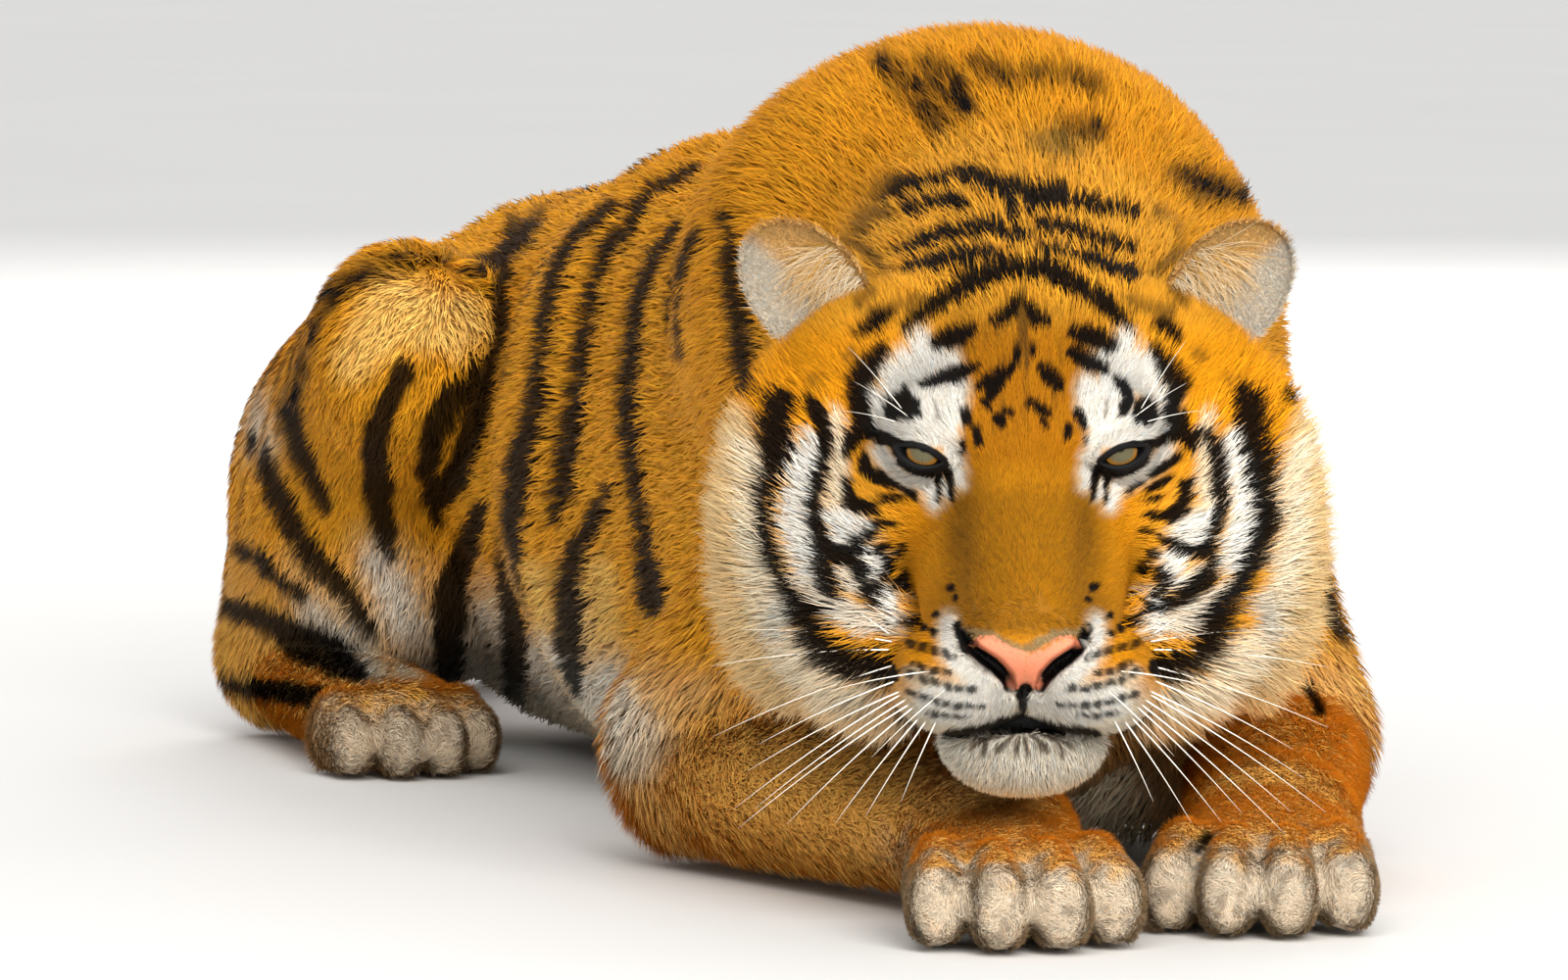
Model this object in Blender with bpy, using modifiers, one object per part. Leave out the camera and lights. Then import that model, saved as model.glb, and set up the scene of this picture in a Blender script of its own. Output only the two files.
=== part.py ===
"""A life-size Siberian tiger lying in a crouch, its chin low over its forepaws.

Each form of the animal (a rib cage, a thigh, a toe) is an ellipsoid, or an elliptic cone between two
joints. The forms are spheres pulled out along a bone, fused by a voxel remesh and faired onto the smooth
blend of the forms' distances. Wedges set along the limbs then part the whole into the pieces a person
would name. The surface is the outline at the tips of the coat. Metres and +Z up; the body lies along Y
with the head towards -Y, and +X is the animal's left.
"""

import math

import bmesh
import bpy
import numpy as np
from mathutils import Matrix, Vector

# Driving dimensions of the animal, in metres unless a name says otherwise
HEAD_YAW_DEG = 21.0  # the head turns this far to the animal's right
HEAD_LIFT_DEG = 4.3  # the gaze rises this far above level
EYES = np.array((-0.153, -0.445, 0.298))  # midway between the eyes
EYE_MM = (60.0, -1.0, -25.0)  # an eye's centre in the head's frame, in millimetres
EYE_RADIUS = 0.0185
ORIGIN = Vector((0.0555, 0.3532, 0.0))  # the middle of the footprint, from the point under the withers
LEFT_ELBOW, RIGHT_ELBOW = (0.174, -0.095, 0.074), (-0.198, 0.005, 0.072)
LEFT_WRIST, RIGHT_WRIST = (0.072, -0.315, 0.050), (-0.130, -0.335, 0.050)
LEFT_PAW, RIGHT_PAW = (0.018, -0.425, 0.036), (-0.156, -0.440, 0.036)
HIP, KNEE = (0.092, 0.90, 0.207), (0.180, 0.645, 0.302)
HEEL, HIND_TOES = (0.194, 0.90, 0.060), (0.196, 0.63, 0.034)
TAIL_RADIUS = 0.052
TAIL_TAPER = 0.0022  # the tail thins by this much at each joint
TAIL = (
    (0.0, 1.04, 0.195), (0.005, 1.12, 0.135), (0.04, 1.18, 0.075), (0.11, 1.215, 0.046),
    (0.20, 1.205, 0.042), (0.285, 1.15, 0.040), (0.335, 1.06, 0.039), (0.36, 0.95, 0.038),
    (0.37, 0.83, 0.036), (0.372, 0.71, 0.034), (0.365, 0.60, 0.032),
)

# Meshing
VOXEL = 0.0070
GROUP_BLEND = 0.014  # limbs join the body with this much blend
CUT = 0.0007  # the width of a parting cut
EAR_GAP = 0.0008  # how far an ear's base stands off the head
FLESH_TRIANGLES = 4700
DETAIL = 0.12  # how much more finely the face and feet are meshed than the body
SIDES = (("right", -1), ("left", 1))


def head_axes():
    """Rows: the head's own left, up and out-of-the-face directions."""
    yaw, lift = math.radians(HEAD_YAW_DEG), math.radians(HEAD_LIFT_DEG)
    left = np.array((math.cos(yaw), -math.sin(yaw), 0.0))
    out = np.array((-math.sin(yaw) * math.cos(lift), -math.cos(yaw) * math.cos(lift), math.sin(lift)))
    return np.array((left, np.cross(out, left), out))


FACE = head_axes()
forms = {"body": [], "front": [], "rear": [], "tail": []}


def face(x, v, w):
    """A point of the head's frame, in millimetres from between the eyes, as a point of the body."""
    return EYES + np.array((x, v, w)) / 1000.0 @ FACE


def cone(group, a, b, ra, rb, k, up=(0.0, 0.0, 1.0)):
    """Adds a form from joint a to joint b with (along, side, up) radii ra and rb."""
    a, b = np.array(a, float), np.array(b, float)
    axis = (b - a) / np.linalg.norm(b - a)
    side = np.cross(axis, up)
    side /= np.linalg.norm(side)
    frame = np.array((axis, side, np.cross(side, axis)))
    forms[group].append((a, b, np.array(ra, float), np.array(rb, float), k, frame))


def blob(group, centre, radii, k, frame=np.eye(3)):
    """Adds an ellipsoid whose radii lie along the rows of the frame."""
    centre, radii = np.array(centre, float), np.array(radii, float)
    forms[group].append((centre, centre, radii, radii, k, frame))


def head_blob(centre, radii, k, tilt=0.0, roll=0.0):
    """Adds a head ellipsoid in millimetres, tilted about the head's left axis and rolled about its out axis."""
    turn = Matrix.Rotation(math.radians(roll), 3, "Z") @ Matrix.Rotation(math.radians(tilt), 3, "X")
    frame = np.array(turn.transposed()) @ FACE
    blob("body", face(*centre), np.array(radii) / 1000.0, k / 1000.0, frame)


def head_cone(a, b, ra, rb, k):
    """Adds a head cone in millimetres, its up radius facing up and out of the face."""
    cone("body", face(*a), face(*b), np.array(ra) / 1000.0, np.array(rb) / 1000.0, k / 1000.0, FACE[1] + FACE[2])


def distance(form, p):
    """How far each point lies from one form, negative inside."""
    a, b, ra, rb, _, frame = form
    ab = b - a
    q = p - a
    radii = ra
    if ab @ ab > 0.0:
        t = np.clip(q @ ab / (ab @ ab), 0.0, 1.0)[:, None]
        q = q - t * ab
        radii = ra + t * (rb - ra)
    s = q @ frame.T / radii
    k0 = np.sqrt((s * s).sum(1)) + 1e-9
    s = s / radii
    k1 = np.sqrt((s * s).sum(1)) + 1e-9
    return k0 * (k0 - 1.0) / k1


def blend(a, b, k):
    """The smaller of two distances, rounded where they differ by less than k."""
    h = np.maximum(k - np.abs(a - b), 0.0) / k
    return np.minimum(a, b) - h * h * k * 0.25


def group_field(members, p):
    """The blended distance of one group, each form only troubling the points near it."""
    d = np.ones(len(p))
    for form in members:
        a, b, ra, rb, k, _ = form
        reach = np.linalg.norm(b - a) / 2.0 + max(ra.max(), rb.max()) + 0.10
        near = np.flatnonzero(((p - (a + b) / 2.0) ** 2).sum(1) < reach * reach)
        d[near] = blend(d[near], distance(form, p[near]), k)
    return d


def field(p):
    """The blended distance of the whole animal."""
    whole = np.ones(len(p))
    for members in forms.values():
        whole = blend(whole, group_field(members, p), GROUP_BLEND)
    return whole


def add_trunk():
    """The rib cage, loin, pelvis, brisket, neck and shoulders."""
    cone("body", (0, 0.0, 0.27), (0, 0.42, 0.235), (0.15, 0.168, 0.236), (0.15, 0.172, 0.222), 0.05)
    cone("body", (0, 0.40, 0.234), (0, 0.80, 0.226), (0.12, 0.168, 0.218), (0.12, 0.142, 0.178), 0.05)
    cone("body", (0, 0.80, 0.220), (0, 0.96, 0.190), (0.10, 0.135, 0.155), (0.08, 0.100, 0.118), 0.05)
    cone("body", (0, 0.14, 0.140), (0, 0.78, 0.130), (0.10, 0.130, 0.125), (0.10, 0.090, 0.118), 0.05)
    cone("body", (-0.02, -0.13, 0.18), (0, 0.12, 0.17), (0.09, 0.115, 0.125), (0.09, 0.140, 0.150), 0.06)
    cone("body", face(0, 10, -150), (0.0, -0.05, 0.36), (0.09, 0.130, 0.130), (0.11, 0.165, 0.165), 0.07)
    blob("body", (0.006, 0.03, 0.388), (0.160, 0.17, 0.155), 0.08)
    scapulae = {
        "left": ((0.105, 0.06, 0.40), (0.075, -0.13, 0.26)),
        "right": ((-0.090, 0.05, 0.39), (-0.106, -0.13, 0.25)),
    }
    elbows = {"left": LEFT_ELBOW, "right": RIGHT_ELBOW}
    for side, s in SIDES:
        top, point = scapulae[side]
        cone("body", top, point, (0.07, 0.075, 0.10), (0.07, 0.070, 0.09), 0.08)
        start = (point[0] + s * 0.02, point[1], 0.21)
        cone("body", start, elbows[side], (0.07, 0.075, 0.10), (0.05, 0.062, 0.075), 0.06)


def add_forelegs():
    """The forearms, palms and toes."""
    joints = {"left": (LEFT_ELBOW, LEFT_WRIST, LEFT_PAW), "right": (RIGHT_ELBOW, RIGHT_WRIST, RIGHT_PAW)}
    for side, s in SIDES:
        elbow, wrist, paw = (np.array(j) for j in joints[side])
        cone("front", elbow, wrist, (0.055, 0.064, 0.070), (0.045, 0.054, 0.045), 0.03)
        cone("front", wrist, paw, (0.045, 0.055, 0.042), (0.045, 0.060, 0.036), 0.02)
        ahead = paw - wrist
        ahead[2] = 0.0
        ahead /= np.linalg.norm(ahead)
        beside = np.array((-ahead[1], ahead[0], 0.0))
        for across, reach in ((-0.052, 0.028), (-0.018, 0.052), (0.018, 0.052), (0.052, 0.028)):
            knuckle = paw + beside * across + ahead * reach
            knuckle[2] = 0.0285
            fan = ahead + beside * across * 3.0
            fan /= np.linalg.norm(fan)
            start = knuckle - fan * 0.025 + np.array((0.0, 0.0, 0.006))
            cone("front", start, knuckle + fan * 0.018, (0.024, 0.0220, 0.036), (0.024, 0.0210, 0.031), 0.009)


def add_hind_legs():
    """The haunches, thighs, shanks, hind feet and toes."""
    for side, s in SIDES:
        hip, knee, heel, toes = (np.array(j) * (s, 1, 1) for j in (HIP, KNEE, HEEL, HIND_TOES))
        cone("body", hip, knee, (0.10, 0.124, 0.128), (0.072, 0.066, 0.077), 0.06)
        cone("body", (s * 0.130, 0.89, 0.14), (s * 0.155, 0.76, 0.17), (0.09, 0.098, 0.13), (0.08, 0.088, 0.11), 0.05)
        cone("body", knee, heel, (0.05, 0.058, 0.068), (0.05, 0.050, 0.062), 0.04)
        cone("rear", heel, toes, (0.045, 0.045, 0.050), (0.045, 0.060, 0.037), 0.03)
        for across, reach in ((-0.047, 0.020), (-0.016, 0.040), (0.016, 0.040), (0.047, 0.020)):
            knuckle = toes + (across, -reach, 0.0)
            knuckle[2] = 0.026
            start = knuckle + (0.0, 0.022, 0.005)
            tip = knuckle + (across * 0.2, -0.020, 0.0)
            cone("rear", start, tip, (0.02, 0.020, 0.033), (0.022, 0.019, 0.028), 0.009)


def add_tail():
    """The tail, lying round the animal's left side."""
    for i in range(len(TAIL) - 1):
        r = TAIL_RADIUS - TAIL_TAPER * i
        cone("tail", TAIL[i], TAIL[i + 1], (r, r, r), (r - TAIL_TAPER,) * 3, 0.02)


def add_head():
    """The skull, muzzle, chin, cheeks and ruff, in millimetres of the head's frame."""
    head_blob((0, 18, -112), (90, 84, 100), 30)
    head_cone((0, 14, -34), (0, -90, 70), (24, 30, 20), (24, 29, 22), 30)
    head_cone((0, -28, -62), (0, -108, 10), (40, 76, 50), (40, 60, 52), 30)
    head_blob((0, -112, 82), (35, 20, 23), 16, tilt=-15)
    head_blob((0, -122, 34), (58, 42, 50), 20, tilt=-25)
    head_cone((0, -158, 8), (0, -112, -70), (34, 50, 32), (50, 68, 46), 20)
    head_blob((0, -174, 14), (51, 33, 34), 16)
    head_blob((0, -98, -125), (90, 66, 86), 36)
    for _, s in SIDES:
        head_blob((s * 56, 8, -38), (33, 33, 29), 34, roll=s * 10)
        head_blob((s * 41, -132, 56), (42, 36, 38), 14, tilt=-10, roll=s * -12)
        head_cone((s * 70, -34, -58), (s * 106, 0, -114), (32, 32, 32), (44, 44, 48), 24)
        head_blob((s * 94, -62, -92), (60, 68, 60), 30)
        head_blob((s * 134, -48, -106), (58, 112, 56), 28)
        head_blob((s * 84, -114, -86), (64, 58, 60), 28)
        head_blob((s * 88, 48, -124), (60, 58, 60), 36)


def project(points, steps):
    """Moves points along the field's gradient onto its zero surface."""
    corners = np.array(((1, -1, -1), (-1, -1, 1), (-1, 1, -1), (1, 1, 1)), float)
    step = 0.0008
    for _ in range(steps):
        samples = np.stack([field(points + c * step) for c in corners])
        slope = samples.T @ corners / (4.0 * step)
        shift = samples.mean(0)[:, None] * slope / np.maximum((slope * slope).sum(1), 0.05)[:, None]
        points = points - np.clip(shift, -0.02, 0.02)
    return points


def coordinates(mesh):
    """The mesh's vertices as an array."""
    co = np.empty(len(mesh.vertices) * 3, np.float32)
    mesh.vertices.foreach_get("co", co)
    return co.reshape(-1, 3).astype(float)


def set_coordinates(mesh, points):
    mesh.vertices.foreach_set("co", points.astype(np.float32).ravel())
    mesh.update()


def clean():
    """Empties the file of everything the script makes, so that a second run starts level."""
    for thing in list(bpy.data.objects):
        bpy.data.objects.remove(thing, do_unlink=True)
    for store in (bpy.data.meshes, bpy.data.materials, bpy.data.collections):
        for thing in list(store):
            store.remove(thing)


def collection(name):
    made = bpy.data.collections.new(name)
    bpy.context.scene.collection.children.link(made)
    return made


def add_object(name, mesh, home):
    thing = bpy.data.objects.new(name, mesh)
    home.objects.link(thing)
    return thing


def mesh_from(build, name):
    bm = bmesh.new()
    build(bm)
    mesh = bpy.data.meshes.new(name)
    bm.to_mesh(mesh)
    bm.free()
    return mesh


def add_hull(bm, form):
    """A sphere pulled apart at its equator until it spans the form's two joints."""
    a, b, ra, rb, _, frame = form
    made = bmesh.ops.create_uvsphere(bm, u_segments=20, v_segments=14, radius=1.0)["verts"]
    for vert in made:
        s = np.array((vert.co.z, vert.co.x, vert.co.y))
        near = s[0] < 0.0
        vert.co = Vector((a if near else b) + (s * (ra if near else rb)) @ frame)


def apply(thing, modifier):
    """Adds one modifier, bakes it into the mesh and drops it."""
    kind, settings = modifier
    live = thing.modifiers.new(kind.lower(), kind)
    for key, value in settings.items():
        setattr(live, key, value)
    graph = bpy.context.evaluated_depsgraph_get()
    baked = bpy.data.meshes.new_from_object(thing.evaluated_get(graph), depsgraph=graph)
    thing.modifiers.clear()
    old = thing.data
    thing.data = baked
    baked.name = thing.name
    bpy.data.meshes.remove(old)


def model_whole(home):
    """The animal in one mesh: hulls fused, faired onto the field, thinned and stood on the floor."""
    members = [form for group in forms.values() for form in group]
    whole = add_object("whole", mesh_from(lambda bm: [add_hull(bm, form) for form in members], "whole"), home)
    apply(whole, ("REMESH", {"mode": "VOXEL", "voxel_size": VOXEL}))
    set_coordinates(whole.data, project(coordinates(whole.data), 3))
    apply(whole, ("SMOOTH", {"factor": 0.5, "iterations": 2}))
    points = project(coordinates(whole.data), 2)
    set_coordinates(whole.data, points)
    detail = whole.vertex_groups.new(name="detail")
    out = np.linalg.norm(points - face(0, -60, 30), axis=1)
    feet = points[:, 2] + 0.6 * np.abs(points[:, 1] + 0.46)
    fine = np.maximum(np.clip(1.6 - out / 0.14, 0.0, 1.0), np.clip(1.5 - feet / 0.10, 0.0, 0.7))
    levels = np.round(fine * 10.0).astype(int)
    for level in range(1, 11):
        detail.add(np.flatnonzero(levels == level).tolist(), level / 10.0, "REPLACE")
    start = len(whole.data.polygons) * 2
    thin = {"ratio": FLESH_TRIANGLES / start, "vertex_group": "detail", "invert_vertex_group": True}
    thin["vertex_group_factor"] = DETAIL
    apply(whole, ("DECIMATE", thin))
    stand(whole)
    return whole


def stand(thing):
    """Cuts the mesh level with the floor and closes it there with flats."""
    bm = bmesh.new()
    bm.from_mesh(thing.data)
    bmesh.ops.triangulate(bm, faces=bm.faces[:])
    everything = bm.verts[:] + bm.edges[:] + bm.faces[:]
    bmesh.ops.bisect_plane(bm, geom=everything, plane_no=(0, 0, 1), clear_inner=True, dist=0.0004)
    for vert in bm.verts:
        if vert.co.z < 0.0005:
            vert.co.z = 0.0
    rim = [edge for edge in bm.edges if edge.is_boundary]
    flats = bmesh.ops.holes_fill(bm, edges=rim, sides=0)["faces"]
    bmesh.ops.triangulate(bm, faces=flats)
    bm.to_mesh(thing.data)
    bm.free()


def cut(thing, cutter, operation):
    """Boolean of one object with a cutter, which stays in its own collection as a wire."""
    apply(thing, ("BOOLEAN", {"operation": operation, "object": cutter, "solver": "EXACT"}))


def wedge(name, a, b, half_a, half_b, home, grow=0.0, up=(0.0, 0.0, 1.0)):
    """A closed box from a to b, its half sizes (side, up) changing from one end to the other."""
    a, b = Vector(a), Vector(b)
    along = (b - a).normalized()
    side = along.cross(Vector(up)).normalized()
    rise = side.cross(along)

    def build(bm):
        ends = []
        for centre, half, out in ((a, half_a, -grow), (b, half_b, grow)):
            corners = ((-1, -1), (1, -1), (1, 1), (-1, 1))
            place = centre + along * out
            reach = (half[0] + grow, half[1] + grow)
            ends.append([bm.verts.new(place + side * (x * reach[0]) + rise * (y * reach[1])) for x, y in corners])
        bm.faces.new(ends[0])
        bm.faces.new(ends[1][::-1])
        for i in range(4):
            j = (i + 1) % 4
            bm.faces.new((ends[0][j], ends[0][i], ends[1][i], ends[1][j]))
        bmesh.ops.recalc_face_normals(bm, faces=bm.faces[:])

    return as_cutter(add_object(name, mesh_from(build, name), home))


def as_cutter(thing):
    thing.hide_render = True
    thing.display_type = "WIRE"
    return thing


def ellipsoid(name, centre, radii, frame, home, segments=(14, 10)):
    """A closed ellipsoid whose radii lie along the rows of the frame."""

    def build(bm):
        made = bmesh.ops.create_uvsphere(bm, u_segments=segments[0], v_segments=segments[1], radius=1.0)["verts"]
        for vert in made:
            vert.co = Vector(np.array(centre) + (np.array(vert.co) * radii) @ frame)
        bmesh.ops.recalc_face_normals(bm, faces=bm.faces[:])

    return add_object(name, mesh_from(build, name), home)


def parting_plan():
    """The wedges that part the whole, outermost first: name, ends, and the half sizes at each end."""
    plan = [("nose", face(0, -100, 104), face(0, -143, 104), (0.036, 0.020), (0.009, 0.020), FACE[2])]
    floor = np.array((0.0, 0.0, 1.0))
    front = {"left": (LEFT_ELBOW, LEFT_WRIST, LEFT_PAW), "right": (RIGHT_ELBOW, RIGHT_WRIST, RIGHT_PAW)}
    for side, s in SIDES:
        elbow, wrist, paw = (np.array(j) for j in front[side])
        ahead = (paw - wrist) / np.linalg.norm(paw - wrist)
        low = np.array((0.0, 0.0, -0.004))
        plan.append(("front_paw_" + side, wrist + low, paw + ahead * 0.13 + low * 2, (0.076, 0.052), (0.079, 0.050), floor))
        lower = (wrist - elbow) / np.linalg.norm(wrist - elbow)
        ends = (elbow + lower * 0.03, wrist + lower * 0.05)
        plan.append(("forearm_" + side, *ends, (0.085, 0.080), (0.085, 0.056), floor))
    for i, (near, far, half) in enumerate(((8, 10, 0.08), (5, 8, 0.085), (2, 5, 0.11), (1, 2, 0.085))):
        a, b = np.array(TAIL[near]), np.array(TAIL[far])
        reach = (b - a) / np.linalg.norm(b - a) * 0.06
        plan.append(("tail_%d" % (4 - i), a, b + reach, (half, 0.085), (half, 0.085), floor))
    plan.append(("head", face(0, -20, -128), face(0, -20, 150), (0.26, 0.195), (0.26, 0.195), FACE[1]))
    plan.append(("neck", face(0, -10, -60), (-0.035, -0.15, 0.33), (0.26, 0.21), (0.24, 0.17), floor))
    for side, s in SIDES:
        elbow = np.array(front[side][0])
        shoulder = np.array((s * 0.135, -0.10, 0.25))
        reach = (elbow - shoulder) / np.linalg.norm(elbow - shoulder) * 0.13
        ends = (shoulder, elbow + reach)
        plan.append(("upper_arm_" + side, *ends, (0.085, 0.12), (0.075, 0.12), np.array((0.0, -1.0, 0.0))))
        heel, toes = np.array(HEEL) * (s, 1, 1), np.array(HIND_TOES) * (s, 1, 1)
        ends = (heel + (s * 0.02, 0.08, -0.03), toes + (s * 0.005, -0.12, -0.012))
        plan.append(("hind_foot_" + side, *ends, (0.080, 0.050), (0.073, 0.056), floor))
        knee = np.array(KNEE) * (s, 1, 1)
        ends = (knee + (s * 0.02, -0.05, -0.06), heel + (s * 0.02, 0.10, 0.0))
        plan.append(("shank_" + side, *ends, (0.085, 0.055), (0.085, 0.055), floor))
        ends = ((s * 0.215, 0.54, 0.20), (s * 0.190, 1.10, 0.20))
        plan.append(("thigh_" + side, *ends, (0.085, 0.25), (0.105, 0.25), floor))
    plan.append(("rump", (0, 0.78, 0.25), (0, 1.20, 0.25), (0.30, 0.30), (0.30, 0.30), floor))
    plan.append(("loin", (0, 0.38, 0.25), (0, 0.90, 0.25), (0.30, 0.30), (0.30, 0.30), floor))
    return plan


def islands(mesh):
    """The mesh's separate bodies, as lists of face numbers."""
    bm = bmesh.new()
    bm.from_mesh(mesh)
    bm.faces.ensure_lookup_table()
    seen, found = set(), []
    for seed in bm.faces:
        if seed.index in seen:
            continue
        stack, body = [seed], []
        seen.add(seed.index)
        while stack:
            here = stack.pop()
            body.append(here.index)
            for edge in here.edges:
                for other in edge.link_faces:
                    if other.index not in seen:
                        seen.add(other.index)
                        stack.append(other)
        found.append(body)
    bm.free()
    return found


def keep_largest(thing):
    """Drops the slivers that a cut leaves beside a node's one body."""
    found = islands(thing.data)
    if len(found) < 2:
        return
    largest = max(found, key=len)
    bm = bmesh.new()
    bm.from_mesh(thing.data)
    bm.faces.ensure_lookup_table()
    keep = set(largest)
    bmesh.ops.delete(bm, geom=[f for f in bm.faces if f.index not in keep], context="FACES")
    bm.to_mesh(thing.data)
    bm.free()


def part_whole(whole, home, tools):
    """Takes each node out of the whole by its wedge; what remains is the chest."""
    nodes = []
    for name, a, b, half_a, half_b, up in parting_plan():
        node = add_object(name, whole.data.copy(), home)
        node.data.name = name
        cut(node, wedge(name + "_zone", a, b, half_a, half_b, tools, 0.0, up), "INTERSECT")
        cut(whole, wedge(name + "_gap", a, b, half_a, half_b, tools, CUT, up), "DIFFERENCE")
        keep_largest(node)
        nodes.append(node)
    keep_largest(whole)
    whole.name = "chest"
    whole.data.name = "chest"
    return nodes + [whole]


def clearance(whole, tools):
    """The whole grown a little, which later trims the ears' bases."""
    grown = add_object("clearance", whole.data.copy(), tools)
    apply(grown, ("DISPLACE", {"strength": EAR_GAP, "mid_level": 0.0}))
    return as_cutter(grown)


def add_ears(skin, home, tools):
    """Cupped ears standing off the head, their bases following it."""
    ears = []
    for side, s in SIDES:
        roll = Matrix.Rotation(math.radians(s * -38), 3, "Z") @ Matrix.Rotation(math.radians(s * 20), 3, "Y")
        frame = np.array(roll.transposed()) @ FACE
        centre = np.array(face(s * 128, 104, -128))
        ear = ellipsoid("ear_" + side, centre, (0.037, 0.050, 0.020), frame, home)
        hollow = centre + frame[2] * 0.016
        cup = as_cutter(ellipsoid("cup_" + side, hollow, (0.0345, 0.0475, 0.021), frame, tools))
        cut(ear, cup, "DIFFERENCE")
        cut(ear, skin, "DIFFERENCE")
        keep_largest(ear)
        ears.append(ear)
    return ears


def add_eyes(head, home, tools):
    """Round eyes in almond openings."""
    eyes = []
    for side, s in SIDES:
        x, v, w = EYE_MM
        centre = face(s * x, v, w)
        roll = np.array(Matrix.Rotation(math.radians(s * 14), 3, "Z").transposed()) @ FACE
        opening = ellipsoid("lids_" + side, face(s * x, v, w + 17), (0.0175, 0.0095, 0.016), roll, tools)
        cut(head, as_cutter(opening), "DIFFERENCE")
        socket = ellipsoid("socket_" + side, centre, (EYE_RADIUS + 0.0005,) * 3, FACE, tools)
        cut(head, as_cutter(socket), "DIFFERENCE")
        eyes.append(ellipsoid("eye_" + side, centre, (EYE_RADIUS,) * 3, FACE, home))
    return eyes


COLOURS = {
    "nose": (0.72, 0.33, 0.24, 1.0), "eye": (0.30, 0.24, 0.12, 1.0), "ear": (0.40, 0.36, 0.30, 1.0),
    "flesh": (0.58, 0.27, 0.05, 1.0),
}


def finish(node):
    """Triangulates a node, gives it its own material and shifts it to the footprint's middle."""
    bm = bmesh.new()
    bm.from_mesh(node.data)
    bmesh.ops.triangulate(bm, faces=bm.faces[:])
    bm.to_mesh(node.data)
    bm.free()
    node.data.transform(Matrix.Translation(-ORIGIN))
    kind = node.name.split("_")[0]
    material = bpy.data.materials.new(node.name)
    material.use_nodes = True
    shader = material.node_tree.nodes["Principled BSDF"]
    shader.inputs["Base Color"].default_value = COLOURS.get(kind, COLOURS["flesh"])
    shader.inputs["Roughness"].default_value = 0.15 if kind == "eye" else 0.8
    node.data.materials.clear()
    node.data.materials.append(material)


def main():
    clean()
    add_trunk()
    add_forelegs()
    add_hind_legs()
    add_tail()
    add_head()
    home = collection("siberian_tiger")
    tools = collection("cutters")
    whole = model_whole(home)
    skin = clearance(whole, tools)
    nodes = part_whole(whole, home, tools)
    head = next(node for node in nodes if node.name == "head")
    nodes += add_ears(skin, home, tools)
    nodes += add_eyes(head, home, tools)
    for node in nodes:
        finish(node)


main()
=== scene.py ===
import math
import time

import bmesh
import bpy
import numpy as np
from mathutils import Matrix, Vector


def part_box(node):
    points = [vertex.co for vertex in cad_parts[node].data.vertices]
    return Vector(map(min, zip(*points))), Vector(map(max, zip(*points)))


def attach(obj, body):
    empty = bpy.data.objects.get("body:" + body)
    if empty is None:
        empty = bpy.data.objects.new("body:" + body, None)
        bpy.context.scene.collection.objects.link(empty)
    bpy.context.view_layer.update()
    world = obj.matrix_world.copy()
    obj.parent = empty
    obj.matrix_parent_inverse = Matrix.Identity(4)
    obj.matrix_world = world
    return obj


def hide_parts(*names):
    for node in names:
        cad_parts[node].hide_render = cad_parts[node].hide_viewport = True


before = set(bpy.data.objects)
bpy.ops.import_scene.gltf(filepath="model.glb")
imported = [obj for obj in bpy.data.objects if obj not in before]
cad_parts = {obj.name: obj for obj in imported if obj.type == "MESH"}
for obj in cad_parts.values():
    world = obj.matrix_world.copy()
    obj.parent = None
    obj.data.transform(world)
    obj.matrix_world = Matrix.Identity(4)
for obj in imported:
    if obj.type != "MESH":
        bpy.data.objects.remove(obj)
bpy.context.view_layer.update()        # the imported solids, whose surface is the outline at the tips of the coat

# A Siberian tiger lying in a crouch: one skin, its coat in tufts, eyes and whiskers.
# Lengths are metres unless a note says mm. Shapes are worked out in the body's own frame, whose zero is
# under the withers, with the head towards -Y and +X the animal's left, and are then moved to the solids.

started = time.time()
sides = (("right", -1), ("left", 1))


def say(stage):
    print("%6.1f s  %s" % (time.time() - started, stage), flush=True)


# The head's own frame: x to its left, v up and w out of the face, in mm from between the eyes
head = {
    "yaw": 21.0,  # degrees, to the animal's right
    "lift": 4.3,  # degrees that the gaze rises
    "between": (-0.153, -0.445, 0.298),
    "eye": (60.0, -1.0, -25.0),
}


def headAxes():
    # Rows are the head's left, up and out directions, turned by its yaw and lift
    yaw, lift = math.radians(head["yaw"]), math.radians(head["lift"])
    left = np.array((math.cos(yaw), -math.sin(yaw), 0.0))
    out = np.array((-math.sin(yaw) * math.cos(lift), -math.cos(yaw) * math.cos(lift), math.sin(lift)))
    return np.array((left, np.cross(out, left), out))


headRows = headAxes()
between = np.array(head["between"])


def face(x, v, w):
    # A place on the head, in mm, as a point of the body
    return between + np.array((x, v, w)) / 1000.0 @ headRows


def toHead(p):
    # Points of the body as places on the head, in mm
    return (p - between) @ headRows.T * 1000.0


def rowShift():
    # From the body's frame to the solids' one: the left eye's centre has to meet its solid's
    low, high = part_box("eye_left")
    return np.array((low + high) / 2.0) - face(*head["eye"])


shift = rowShift()

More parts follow.
